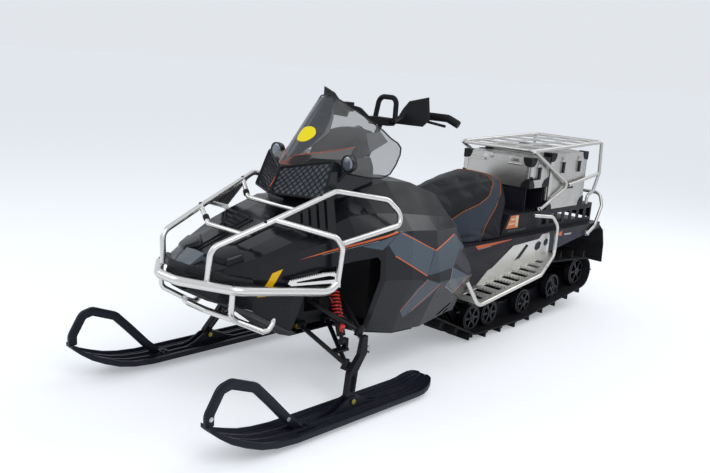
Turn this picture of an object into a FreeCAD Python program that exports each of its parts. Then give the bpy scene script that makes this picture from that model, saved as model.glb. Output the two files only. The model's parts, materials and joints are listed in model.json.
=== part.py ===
import FreeCAD, Part
import math
import os
from FreeCAD import Vector

# Utility snowmobile with a tubular front bumper and a tubular rack over two luggage cases.
# Millimetres. +X points forward, +Y to the rider's left and +Z up.
# The origin lies on the ground under the middle of the machine's length.

# Driving sizes: overall
REAR_X = -1600.0
RUN = 0.3
SEAM = 0.35
SKIN = 4.0

# Driving sizes: track and its wheels
TRACK_WIDTH = 500.0
BELT = 8.0
LUG_HEIGHT = 38.0
LUG_ROOT = 16.0
LUG_TOP = 9.0
LUG_COUNT = 52
SPROCKET_X = 140.0
SPROCKET_Z = 330.0
SPROCKET_R = 85.0
SPROCKET_WIDTH = 24.0
BOGIE_R = 71.0
FIRST_BOGIE_X = -293.0
RAIL_BEND_X = -700.0
RAIL_BEND_R = 300.0
IDLER_X = -1364.0
IDLER_Z = 222.0
IDLER_R = 88.0
WHEEL_WIDTH = 34.0
WHEEL_Y = TRACK_WIDTH / 2 - 60.0
RAIL_Y = TRACK_WIDTH / 2 - 120.0
RAIL_WIDTH = 24.0
RAIL_HEIGHT = 72.0
AXLE_R = 10.0

# Driving sizes: tunnel and running boards
TUNNEL_SHEET = 4.0
TRACK_CLEARANCE = 12.0
TUNNEL_HALF = TRACK_WIDTH / 2 + TRACK_CLEARANCE + TUNNEL_SHEET
TUNNEL_TOP = 535.0
TUNNEL_FRONT_X = 300.0
TUNNEL_REAR_X = -1470.0
BOARD_FRONT_X = -15.0
BOARD_REAR_X = -880.0
BOARD_FRONT_Z = 300.0
BOARD_REAR_Z = 418.0
BOARD_BEND_X = -560.0
BOARD_EDGE_Y = TUNNEL_HALF + 159.0
BOARD_REAR_EDGE_Y = TUNNEL_HALF + 44.0
BOARD_SHEET = 5.0
BOARD_TUBE = 20.0

# Driving sizes: front suspension and steering
RAKE = 27.0
BULKHEAD_Y = TUNNEL_HALF - 116.0
ARM_ROOT_Y = BULKHEAD_Y + 18.0
KINGPIN_Y = TUNNEL_HALF + 139.0
UPPER_BALL_X = 785.0
UPPER_BALL_Z = 321.0
KINGPIN_SPAN = 146.0
STEER_ARM_DROP = 67.0
STEER_ARM = 90.0
PITMAN_ARM = 74.0
PITMAN_X = 672.0
PITMAN_Z = 400.0
POST_R = 12.0
POST_LENGTH = 800.0
ARM_TUBE = 20.0
ARM_FRONT_X = 900.0
UPPER_REAR_X = 690.0
LOWER_REAR_X = 745.0
UPPER_ROOT_Z = 425.0
LOWER_ROOT_Z = 300.0
PIN_R = 6.0
EYE_R = 17.0
EYE_LENGTH = 28.0

# Driving sizes: skis
SKI_Y = KINGPIN_Y + 70.0
SKI_HALF = 82.0
SKI_TIP_X = 1600.0
SKI_TAIL_X = 430.0
KEEL = 20.0
SKI_SOLE = 10.0
SKI_BOLT_X = 900.0
SKI_BOLT_Z = 75.0

# Driving sizes: tubes of the bumper and rack
MAIN_TUBE = 36.0
RAIL_TUBE = 24.0
CROSS_TUBE = 20.0
SKID_TUBE = 26.0
STRUT_TUBE = 22.0
CAGE_TUBE = 20.0
BAR_TUBE = 22.0

# Driving sizes: luggage
DECK_Z = 650.0
DECK_FRONT_X = -805.0
DECK_REAR_X = -1430.0
CASE_SHEET = 3.0
LID_HEIGHT = 38.0
CASE_HALF = 222.0
DECK_HALF = CASE_HALF - 4.0
CASE_GAP = 16.0
FRONT_CASE_X = -680.0
FRONT_CASE_LENGTH = 188.0
FRONT_CASE_HEIGHT = 124.0
REAR_CASE_LENGTH = 406.0
REAR_CASE_HEIGHT = 276.0
STAND_TOP_Z = DECK_Z + 132.0


def vec(x, y, z):
    """A point or direction."""
    return Vector(x, y, z)


def mirrored(shape):
    """The same piece on the right-hand side."""
    return shape.mirror(vec(0, 0, 0), vec(0, 1, 0))


def both(shape):
    """A left piece and its right twin as two loose solids."""
    return Part.makeCompound([shape, mirrored(shape)])


def fused(shapes):
    """One solid from pieces that touch."""
    whole = shapes[0]
    for shape in shapes[1:]:
        whole = whole.fuse(shape)
    return whole.removeSplitter()


def box(low, high):
    """A block between two corners."""
    size = high - low
    return Part.makeBox(size.x, size.y, size.z, low)


def rod(start, end, radius):
    """A round bar between two points."""
    run = end - start
    return Part.makeCylinder(radius, run.Length, start, run)


def polygon(points):
    """A closed flat wire through points."""
    return Part.makePolygon(list(points) + [points[0]])


def side_plate(outline, y_low, y_high):
    """A plate cut to an outline of (x, z) points, standing between two values of y."""
    wire = polygon([vec(x, y_low, z) for x, z in outline])
    return Part.Face(wire).extrude(vec(0, y_high - y_low, 0))


def flat_plate(outline, z_low, z_high):
    """A plate cut to an outline of (x, y) points, lying between two heights."""
    wire = polygon([vec(x, y, z_low) for x, y in outline])
    return Part.Face(wire).extrude(vec(0, 0, z_high - z_low))


def route(points, bend, closed=False):
    """A wire of straight runs joined by tangent arcs of one bend radius, less where runs are short."""
    count = len(points)
    corners = range(count) if closed else range(1, count - 1)
    trims = {}
    for i in corners:
        before = points[i - 1] - points[i]
        after = points[(i + 1) % count] - points[i]
        turn = math.pi - before.getAngle(after)
        if turn < 0.01:
            continue
        reach = min(bend * math.tan(turn / 2), 0.45 * min(before.Length, after.Length))
        ends = []
        for way in (before, after):
            ends.append(points[i] + way * (reach / way.Length))
        inward = (ends[0] - points[i]) + (ends[1] - points[i])
        radius = reach / math.tan(turn / 2)
        depth = math.hypot(radius, reach) - radius
        middle = points[i] + inward * (depth / inward.Length)
        trims[i] = (ends[0], middle, ends[1])
    edges = []
    last = count if closed else count - 1
    for i in range(last):
        nxt = (i + 1) % count
        start = trims[i][2] if i in trims else points[i]
        end = trims[nxt][0] if nxt in trims else points[nxt]
        edges.append(Part.LineSegment(start, end).toShape())
        if nxt in trims:
            edges.append(Part.Arc(*trims[nxt]).toShape())
    return Part.Wire(edges)


def tube(points, diameter, bend, closed=False):
    """A bent round bar along a route."""
    spine = route(points, bend, closed)
    first = spine.Edges[0]
    start = first.valueAt(first.FirstParameter)
    way = first.tangentAt(first.FirstParameter)
    ring = Part.Wire([Part.makeCircle(diameter / 2, start, way)])
    return spine.makePipe(Part.Face(ring))


def loft(sections):
    """A solid with flat-sided skin through closed wires."""
    return Part.makeLoft(sections, True, True)


def across(x, points):
    """A closed wire at one x through (y, z) points."""
    return polygon([vec(x, y, z) for y, z in points])


# Steering geometry shared by the skis, rods and column.
RAKE_RAD = math.radians(RAKE)
STEER_AXIS = vec(-math.sin(RAKE_RAD), 0, math.cos(RAKE_RAD))
BACKWARD = vec(-math.cos(RAKE_RAD), 0, -math.sin(RAKE_RAD))
UPPER_BALL = vec(UPPER_BALL_X, KINGPIN_Y, UPPER_BALL_Z)
LOWER_BALL = UPPER_BALL - STEER_AXIS * KINGPIN_SPAN
STEER_ARM_ROOT = UPPER_BALL - STEER_AXIS * STEER_ARM_DROP
ROD_OUTER = STEER_ARM_ROOT + BACKWARD * STEER_ARM
PITMAN_CENTRE = vec(PITMAN_X, 0, PITMAN_Z)
ROD_INNER_Y = 36.0
PLATE = 8.0


def along_axis(centre, radius, low, high):
    """A round piece about the steering direction, from low to high along it."""
    return Part.makeCylinder(radius, high - low, centre + STEER_AXIS * low, STEER_AXIS)


# Track

def tangent_loop(circles):
    """Straight runs and arcs round circles (x, z, r), given in order round their outside."""
    touch = []
    count = len(circles)
    for i in range(count):
        x1, z1, r1 = circles[i]
        x2, z2, r2 = circles[(i + 1) % count]
        length = math.hypot(x2 - x1, z2 - z1)
        heading = math.atan2(z2 - z1, x2 - x1)
        lean = math.acos((r1 - r2) / length)
        angle = heading + lean
        touch.append((angle, (x1 + r1 * math.cos(angle), z1 + r1 * math.sin(angle)),
                      (x2 + r2 * math.cos(angle), z2 + r2 * math.sin(angle))))
    pieces = []
    for i in range(count):
        angle_in = touch[i - 1][0]
        angle_out = angle_in - (angle_in - touch[i][0]) % (2 * math.pi)
        x, z, radius = circles[i]
        pieces.append(("arc", (x, z), radius, angle_in, angle_out))
        pieces.append(("line", touch[i][1], touch[i][2], touch[i][0]))
    return pieces


def loop_wire(pieces, y):
    """The closed wire of a tangent loop at one y."""
    edges = []
    for piece in pieces:
        if piece[0] == "line":
            (x1, z1), (x2, z2) = piece[1], piece[2]
            edges.append(Part.LineSegment(vec(x1, y, z1), vec(x2, y, z2)).toShape())
        else:
            (x, z), radius, start, end = piece[1:]
            points = []
            for angle in (start, (start + end) / 2, end):
                points.append(vec(x + radius * math.cos(angle), y, z + radius * math.sin(angle)))
            edges.append(Part.Arc(*points).toShape())
    return Part.Wire(edges)


def loop_places(pieces, count):
    """Evenly spaced (x, z, outward angle) places round a tangent loop."""
    lengths = []
    for piece in pieces:
        if piece[0] == "line":
            lengths.append(math.dist(piece[1], piece[2]))
        else:
            lengths.append(piece[2] * (piece[3] - piece[4]))
    pitch = sum(lengths) / count
    places = []
    for i in range(count):
        rest = (i + 0.5) * pitch
        for piece, length in zip(pieces, lengths):
            if rest > length:
                rest -= length
                continue
            part = rest / length
            if piece[0] == "line":
                (x1, z1), (x2, z2) = piece[1], piece[2]
                places.append((x1 + part * (x2 - x1), z1 + part * (z2 - z1), piece[3]))
            else:
                angle = piece[3] + part * (piece[4] - piece[3])
                (x, z), radius = piece[1], piece[2]
                places.append((x + radius * math.cos(angle), z + radius * math.sin(angle), angle))
            break
    return places


WHEEL_BASE_Z = LUG_HEIGHT + BELT


def track_circles(grow):
    """Circles that the belt runs round, clockwise seen from the right: radius grown by grow."""
    first_z = WHEEL_BASE_Z + BOGIE_R + RUN
    bend_z = WHEEL_BASE_Z + RAIL_BEND_R
    return [
        (SPROCKET_X, SPROCKET_Z, SPROCKET_R + RUN + grow),
        (FIRST_BOGIE_X, first_z, BOGIE_R + RUN + grow),
        (RAIL_BEND_X, bend_z, RAIL_BEND_R + grow),
        (IDLER_X, IDLER_Z, IDLER_R + RUN + grow),
    ]


def lower_run(x):
    """Height and slope of the belt's inner face on the ground side at x."""
    loop = tangent_loop(track_circles(0))
    for piece in loop:
        if piece[0] == "line":
            (x1, z1), (x2, z2) = piece[1], piece[2]
            low_side = math.sin(piece[3]) < 0
            if low_side and min(x1, x2) <= x <= max(x1, x2):
                slope = (z2 - z1) / (x2 - x1)
                return z1 + slope * (x - x1), slope
    return WHEEL_BASE_Z, 0.0


def make_track():
    """The rubber belt as one closed loop with its rows of lugs."""
    half = TRACK_WIDTH / 2
    outer = tangent_loop(track_circles(BELT))
    inner = tangent_loop(track_circles(0))
    ring = Part.Face(loop_wire(outer, -half)).cut(Part.Face(loop_wire(inner, -half)))
    belt = ring.extrude(vec(0, TRACK_WIDTH, 0))
    lugs = []
    # Lug blocks of alternate rows: low and high y as shares of the belt's half width
    rows = (((-0.944, -0.384), (-0.248, 0.248), (0.384, 0.944)), ((-0.8, -0.12), (0.12, 0.8)))
    for i, (x, z, angle) in enumerate(loop_places(outer, LUG_COUNT)):
        out = vec(math.cos(angle), 0, math.sin(angle))
        side = vec(-math.sin(angle), 0, math.cos(angle))
        foot = vec(x, 0, z) - out * (BELT / 2)
        tip = vec(x, 0, z) + out * LUG_HEIGHT
        profile = polygon([foot - side * (LUG_ROOT / 2), foot + side * (LUG_ROOT / 2),
                           tip + side * (LUG_TOP / 2), tip - side * (LUG_TOP / 2)])
        for low, high in rows[i % 2]:
            face = Part.Face(profile)
            face.translate(vec(0, low * half, 0))
            lugs.append(face.extrude(vec(0, (high - low) * half, 0)))
    return belt.fuse(lugs)


BOGIE_XS = (FIRST_BOGIE_X, -455.0, -790.0, -1102.0)


def bogie_centre(x):
    """Centre of a small wheel that stands on the belt at x."""
    height, slope = lower_run(x)
    tilt = math.atan(slope)
    reach = BOGIE_R + RUN
    return vec(x - reach * math.sin(tilt), 0, height + reach * math.cos(tilt))


def wheel(centre, radius, width, bore):
    """A spoked wheel about a cross axle: rim, web and hub."""
    start = vec(centre.x, centre.y - width / 2, centre.z)
    # Half profile: radius, offset across
    rim = radius - 12
    hub = bore + 12
    web = width / 2 - 6
    profile = [(bore, 0), (hub, 0), (hub, web), (rim, web), (rim, 0), (radius, 0),
               (radius, width), (rim, width), (rim, width - web), (hub, width - web), (hub, width), (bore, width)]
    wire = polygon([vec(start.x + r, start.y + a, start.z) for r, a in profile])
    return Part.Face(wire).revolve(start, vec(0, 1, 0), 360)


def make_track_wheels():
    """The bogie wheels and rear idlers, two of each on their axles."""
    wheels = []
    for x in BOGIE_XS:
        for side in (-1, 1):
            centre = bogie_centre(x) + vec(0, side * WHEEL_Y, 0)
            wheels.append(wheel(centre, BOGIE_R, WHEEL_WIDTH, AXLE_R + RUN))
    for side in (-1, 1):
        centre = vec(IDLER_X, side * WHEEL_Y, IDLER_Z)
        wheels.append(wheel(centre, IDLER_R, WHEEL_WIDTH, AXLE_R + RUN))
    return Part.makeCompound(wheels)


AXLE_HALF = WHEEL_Y + WHEEL_WIDTH / 2 + 6


def make_slide_rails():
    """Two slide rails that press the belt down, joined by the wheel axles."""
    low = []
    for x in (-250.0, RAIL_BEND_X, -1320.0):
        height, slope = lower_run(x)
        low.append((x, height + RUN))
    nose = [(-180.0, WHEEL_BASE_Z + 95), (-150.0, WHEEL_BASE_Z + 135)]
    outline = [nose[1], nose[0]] + low
    outline += [(x, z + RAIL_HEIGHT) for x, z in reversed(low)]
    outline += [(-205.0, WHEEL_BASE_Z + 120)]
    pieces = []
    for side in (-1, 1):
        y = side * RAIL_Y
        pieces.append(side_plate(outline, y - RAIL_WIDTH / 2, y + RAIL_WIDTH / 2))
    for x in BOGIE_XS:
        centre = bogie_centre(x)
        pieces.append(rod(centre - vec(0, AXLE_HALF, 0), centre + vec(0, AXLE_HALF, 0), AXLE_R))
    idler = vec(IDLER_X, 0, IDLER_Z)
    pieces.append(rod(idler - vec(0, AXLE_HALF, 0), idler + vec(0, AXLE_HALF, 0), AXLE_R))
    for side in (-1, 1):
        y = side * RAIL_Y
        arm = [(-1290.0, lower_run(-1290.0)[0] + 20), (-1290.0, lower_run(-1290.0)[0] + RAIL_HEIGHT),
               (IDLER_X - 16, IDLER_Z + 16), (IDLER_X + 4, IDLER_Z - 18)]
        pieces.append(side_plate(arm, y - RAIL_WIDTH / 2, y + RAIL_WIDTH / 2))
    return fused(pieces)


def make_drive_axle():
    """The drive axle with its sprockets, carried by the tunnel's sides."""
    centre = vec(SPROCKET_X, 0, SPROCKET_Z)
    reach = vec(0, TUNNEL_HALF - TUNNEL_SHEET - RUN, 0)
    pieces = [rod(centre - reach, centre + reach, 16.0)]
    for y in (-150.0, -50.0, 50.0, 150.0):
        hub = vec(SPROCKET_X, y - SPROCKET_WIDTH / 2, SPROCKET_Z)
        pieces.append(Part.makeCylinder(SPROCKET_R, SPROCKET_WIDTH, hub, vec(0, 1, 0)))
    return fused(pieces)


# Front and rear arms of the track's suspension: pivot x, z in the tunnel, foot x on the rails
TRACK_ARMS = ((-70.0, 325.0, -375.0), (-760.0, 302.0, -960.0))
ARM_CROSS_R = 14.0


def track_arms():
    """Two swinging arms between tunnel and rails, each a cross tube with two legs and a foot tube."""
    arms = []
    reach = TUNNEL_HALF - TUNNEL_SHEET - RUN
    inner = RAIL_Y - RAIL_WIDTH / 2 - RUN
    for x, z, foot_x in TRACK_ARMS:
        foot_z = lower_run(foot_x)[0] + 42
        pieces = [rod(vec(x, -reach, z), vec(x, reach, z), ARM_CROSS_R)]
        pieces.append(rod(vec(foot_x, -inner, foot_z), vec(foot_x, inner, foot_z), ARM_CROSS_R))
        for y in (-80.0, 80.0):
            pieces.append(rod(vec(x, y, z), vec(foot_x, y, foot_z), 12.0))
        arms.append(fused(pieces))
    return arms


def track_shocks():
    """The two shock absorbers inside the track, each from its arm's cross tube to a wheel axle."""
    shocks = []
    for (x, z, foot_x), axle_x in zip(TRACK_ARMS, (BOGIE_XS[1], BOGIE_XS[3])):
        top = vec(x, 0, z)
        foot = bogie_centre(axle_x)
        way = foot - top
        way.normalize()
        start = top + way * (ARM_CROSS_R + RUN)
        end = foot - way * (AXLE_R + RUN)
        run = end - start
        shocks.append(fused([rod(start, end, 9.0), rod(start + run * 0.08, start + run * 0.6, 26.0)]))
    return shocks


def make_track_suspension():
    """The arms and shock absorbers inside the track, loose solids that meet at their pins."""
    return Part.makeCompound(track_arms() + track_shocks())


# Tunnel, boards and their brackets

TUNNEL_OUTLINE = [(TUNNEL_FRONT_X, TUNNEL_TOP), (TUNNEL_FRONT_X, 250.0), (90.0, 238.0), (-60.0, 285.0),
                  (-330.0, 350.0), (-690.0, 380.0), (-715.0, 290.0), (-742.0, 272.0), (-778.0, 272.0),
                  (-805.0, 290.0), (-850.0, 405.0), (-990.0, 428.0), (TUNNEL_REAR_X, 500.0),
                  (TUNNEL_REAR_X, TUNNEL_TOP)]


def make_tunnel():
    """The tunnel: its top sheet, front wall and the two sides folded down from the top."""
    half = TUNNEL_HALF
    top = box(vec(TUNNEL_REAR_X, -half, TUNNEL_TOP - TUNNEL_SHEET), vec(TUNNEL_FRONT_X, half, TUNNEL_TOP))
    wall = box(vec(TUNNEL_FRONT_X - TUNNEL_SHEET, -half, 250.0), vec(TUNNEL_FRONT_X, half, TUNNEL_TOP))
    side = side_plate(TUNNEL_OUTLINE, half - TUNNEL_SHEET, half)
    return fused([top, wall, side, mirrored(side)])


def board_height(x):
    """Height of the top of the running board at x."""
    part = (x - BOARD_FRONT_X) / (BOARD_REAR_X - BOARD_FRONT_X)
    return BOARD_FRONT_Z + part * (BOARD_REAR_Z - BOARD_FRONT_Z)


def board_edge(x):
    """Outer edge of the running board at x."""
    part = max(0.0, (x - BOARD_BEND_X) / (BOARD_REAR_X - BOARD_BEND_X))
    return BOARD_EDGE_Y - part * (BOARD_EDGE_Y - BOARD_REAR_EDGE_Y)


SLOT_PITCH = 78.0
SLOT_WIDTH = 34.0
SLOT_MARGIN = 28.0
BOARD_SLOT_XS = [BOARD_FRONT_X - 55.0 - SLOT_PITCH * i for i in range(9)]


def make_running_board():
    """The left running board: pressed plate with slots, side plate with holes, edge tube."""
    inner = TUNNEL_HALF + RUN
    outline = [(BOARD_FRONT_X, inner), (BOARD_FRONT_X, BOARD_EDGE_Y), (BOARD_BEND_X, BOARD_EDGE_Y),
               (BOARD_REAR_X, BOARD_REAR_EDGE_Y), (BOARD_REAR_X, inner)]
    band = side_plate([(BOARD_FRONT_X, board_height(BOARD_FRONT_X)), (BOARD_REAR_X, board_height(BOARD_REAR_X)),
                       (BOARD_REAR_X, board_height(BOARD_REAR_X) - BOARD_SHEET),
                       (BOARD_FRONT_X, board_height(BOARD_FRONT_X) - BOARD_SHEET)], inner, BOARD_EDGE_Y)
    deck = band.common(flat_plate(outline, 0, 800))
    for x in BOARD_SLOT_XS:
        middle = (inner + board_edge(x - 20)) / 2
        half = (board_edge(x - 20) - inner) / 2 - SLOT_MARGIN
        slot = box(vec(x - SLOT_WIDTH, middle - half, 200), vec(x, middle + half, 500))
        deck = deck.cut(slot)
    plate_line = [(-200.0, board_height(-200.0) - BOARD_SHEET), (-300.0, 392.0), (-334.0, 398.0), (-535.0, 506.0),
                  (-688.0, 524.0), (-870.0, 530.0), (BOARD_REAR_X, 500.0),
                  (BOARD_REAR_X, board_height(BOARD_REAR_X) - BOARD_SHEET)]
    side = side_plate(plate_line, inner, inner + BOARD_SHEET)
    holes = ([(-540.0, 412.0), (-590.0, 418.0), (-665.0, 480.0), (-640.0, 490.0)],
             [(-728.0, 455.0), (-750.0, 440.0), (-785.0, 450.0), (-795.0, 482.0), (-765.0, 494.0), (-735.0, 480.0)],
             [(-818.0, 470.0), (-838.0, 457.0), (-862.0, 466.0), (-866.0, 490.0), (-845.0, 500.0), (-824.0, 490.0)])
    for hole in holes:
        side = side.cut(side_plate(hole, inner - 1, inner + BOARD_SHEET + 1))
    low = BOARD_TUBE / 2
    front = vec(BOARD_FRONT_X, BOARD_EDGE_Y, board_height(BOARD_FRONT_X) - low)
    bend = vec(BOARD_BEND_X, BOARD_EDGE_Y, board_height(BOARD_BEND_X) - low)
    rear = vec(BOARD_REAR_X, BOARD_REAR_EDGE_Y, board_height(BOARD_REAR_X) - low)
    # The tube's rear rises beside the deck: x, distance from the tunnel's side, z
    rise = [vec(x, TUNNEL_HALF + y, z) for x, y, z in ((-900.0, 34.0, 570.0), (-850.0, 26.0, 625.0), (-700.0, -4.0, 640.0))]
    rail = tube([vec(48.0, BOARD_EDGE_Y - 33.0, 412.0), front, bend, rear] + rise, BOARD_TUBE, 45.0)
    return fused([deck, side, rail])


# Body shells. Columns of each station: x, then for the crown, the crown's edge, the shoulder, the upper
# flank, the lower flank and the chine the distance from the middle as a share of the tunnel's half width
# and the height.
BODY_TABLE = [
    (1392.0, (0, 588), (0.18, 584), (0.256, 574), (0.293, 560), (0.293, 536), (0.248, 512)),
    (1320.0, (0, 612), (0.391, 606), (0.594, 592), (0.692, 576), (0.699, 545), (0.556, 470)),
    (1200.0, (0, 652), (0.556, 646), (0.82, 632), (0.925, 610), (0.932, 560), (0.797, 425)),
    (1050.0, (0, 702), (0.62, 698), (0.985, 690), (1.12, 660), (1.068, 530), (0.985, 335)),
    (900.0, (0, 748), (0.658, 744), (1.071, 735), (1.211, 690), (1.158, 560), (1.038, 300)),
    (780.0, (0, 790), (0.695, 786), (1.098, 772), (1.293, 700), (1.248, 560), (1.068, 275)),
    (620.0, (0, 868), (0.733, 858), (1.113, 775), (1.368, 700), (1.421, 500), (1.083, 250)),
    (450.0, (0, 895), (0.695, 885), (1.128, 760), (1.368, 695), (1.451, 480), (1.09, 212)),
    (250.0, (0, 872), (0.602, 862), (1.06, 730), (1.278, 672), (1.451, 440), (1.075, 200)),
    (30.0, (0, 800), (0.526, 790), (0.887, 700), (1.075, 655), (1.361, 430), (1.053, 232)),
    (-60.0, (0, 780), (0.504, 770), (0.857, 690), (1.038, 648), (1.323, 428), (1.053, 232)),
]
STATIONS = [(row[0],) + tuple((share * TUNNEL_HALF, z) for share, z in row[1:]) for row in BODY_TABLE]


def inset(points, depth):
    """Points of a polyline moved to its left by depth, with mitred corners."""
    moved = []
    count = len(points)
    for i in range(count):
        ways = []
        for a, b in ((i - 1, i), (i, i + 1)):
            if a >= 0 and b < count:
                dy = points[b][0] - points[a][0]
                dz = points[b][1] - points[a][1]
                length = math.hypot(dy, dz)
                ways.append((-dz / length, dy / length))
        ny = sum(w[0] for w in ways)
        nz = sum(w[1] for w in ways)
        scale = depth / (ny * ways[0][0] + nz * ways[0][1])
        moved.append((points[i][0] + ny * scale, points[i][1] + nz * scale))
    return moved


def drawn_in(points, gap):
    """A polyline with both ends cut back by gap."""
    result = list(points)
    for end, neighbour in ((0, 1), (-1, -2)):
        (y1, z1), (y2, z2) = points[end], points[neighbour]
        length = math.dist(points[end], points[neighbour])
        result[end] = (y1 + (y2 - y1) * gap / length, z1 + (z2 - z1) * gap / length)
    return result


def panel(first, last, crosses_middle, outline):
    """A moulded skin from one named line of the stations to another, trimmed to an (x, z) outline."""
    sections = []
    for station in STATIONS:
        right = [(-y, z) for y, z in reversed(station[2:])]
        outer = right + list(station[1:])
        inner = inset(outer, -SKIN)
        middle = len(right)
        low = middle - last if crosses_middle else middle + first
        high = middle + last
        edge = drawn_in(outer[low:high + 1], SEAM)
        lining = drawn_in(inner[low:high + 1], SEAM)
        sections.append(across(station[0], edge + list(reversed(lining))))
    return loft(sections).common(side_plate(outline, -700, 700))


HOOD_REAR_X = 660.0
NOSE_X = 1392.0
PANEL_REAR_X = 30.0
# Places of the named lines in a station, counted from the crown
CROWN, SHOULDER, CHINE = 0, 2, 5
# Seam between fairing and side panel in side view: top x, bottom x
FAIRING_SEAM = (905.0, 700.0)


def seam_line(offset):
    """The fairing's seam from top to bottom, moved forward by offset."""
    return [(FAIRING_SEAM[0] + offset, 900.0), (FAIRING_SEAM[1] + offset, 150.0)]


def make_hood():
    """The bonnet from the nose to the lamp pod."""
    low = HOOD_REAR_X + SEAM
    return panel(CROWN, SHOULDER, True, [(low, 100.0), (low, 1200.0), (NOSE_X, 1200.0), (NOSE_X, 100.0)])


def make_console():
    """The tank cover and dash between the bonnet and the seat."""
    high = HOOD_REAR_X - SEAM
    whole = panel(CROWN, SHOULDER, True, [(PANEL_REAR_X, 100.0), (PANEL_REAR_X, 1200.0), (high, 1200.0), (high, 100.0)])
    return whole.cut(along_axis(PITMAN_CENTRE, POST_R + 8, 300, POST_LENGTH))


BAY_OUTLINE = [(1034.0, 200.0), (1034.0, 325.0), (985.0, 498.0), (940.0, 570.0), (781.0, 594.0), (662.0, 604.0),
               (645.0, 585.0), (648.0, 300.0), (648.0, 200.0)]


def make_fairing():
    """The left front fairing, cut away round the suspension."""
    skin = panel(SHOULDER, CHINE, False, seam_line(SEAM) + [(NOSE_X, 150.0), (NOSE_X, 900.0)])
    return skin.cut(side_plate(BAY_OUTLINE, 150, 500))


# Rear edge of the side panel in side view, from below: x, z
PANEL_REAR_EDGE = [(-10.0, 150.0), (-10.0, 308.0), (-28.0, 330.0), (-43.0, 393.0), (-38.0, 455.0), (-12.0, 553.0),
                   (26.0, 655.0), (PANEL_REAR_X, 900.0)]


def make_side_panel():
    """The left side panel from the fairing's seam to the footwell."""
    skin = panel(SHOULDER, CHINE, False, seam_line(-SEAM) + PANEL_REAR_EDGE)
    return skin.cut(side_plate(BAY_OUTLINE, 150, 500))


# Belly pan where the sides are open: x, half width, edge height
BELLY_WAIST_Z = 262.0
BELLY_WAIST_HALF = BULKHEAD_Y + 12.0
BELLY_WAIST = ((985.0, TUNNEL_HALF - 30.0, 303.0), (950.0, BELLY_WAIST_HALF, BELLY_WAIST_Z),
               (690.0, BELLY_WAIST_HALF, BELLY_WAIST_Z), (655.0, TUNNEL_HALF - 4.0, 252.0))
BELLY_DIP = 12.0
BELLY_REAR_X = TUNNEL_FRONT_X + 2


def make_belly_pan():
    """The under-tray that closes the nose and engine bay from below."""
    rows = []
    for station in STATIONS:
        y, z = station[1 + CHINE]
        if station[0] > 1034 or 300 < station[0] < 650:
            rows.append((station[0], y, z - RUN))
    y, z = chine_at(1040.0)
    rows.append((1040.0, y, z - RUN))
    y, z = chine_at(BELLY_REAR_X)
    rows.append((BELLY_REAR_X, y, z - RUN))
    rows += list(BELLY_WAIST)
    rows.sort(reverse=True)
    sections = []
    for x, half, edge in rows:
        upper = [(half, edge), (half * 0.6, edge - BELLY_DIP), (-half * 0.6, edge - BELLY_DIP), (-half, edge)]
        lower = [(y, z - SKIN) for y, z in reversed(upper)]
        sections.append(across(x, upper + lower))
    return loft(sections)


def chine_at(x):
    """Place of the chine between stations."""
    for ahead, behind in zip(STATIONS, STATIONS[1:]):
        if behind[0] <= x <= ahead[0]:
            part = (ahead[0] - x) / (ahead[0] - behind[0])
            (y1, z1), (y2, z2) = ahead[1 + CHINE], behind[1 + CHINE]
            return y1 + part * (y2 - y1), z1 + part * (z2 - z1)
    return STATIONS[-1][1 + CHINE]


def make_nose_cap():
    """The moulded cap that closes the nose."""
    half = list(STATIONS[0][1:])
    ring = [(-y, z) for y, z in reversed(half[1:])] + half
    sections = []
    for x, share in ((NOSE_X + RUN, 1.0), (NOSE_X + 14, 0.82)):
        middle = 548.0
        sections.append(across(x, [(y * share, middle + (z - middle) * share) for y, z in ring]))
    return loft(sections)


# Bulkhead and the tubes that carry the steering column

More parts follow.
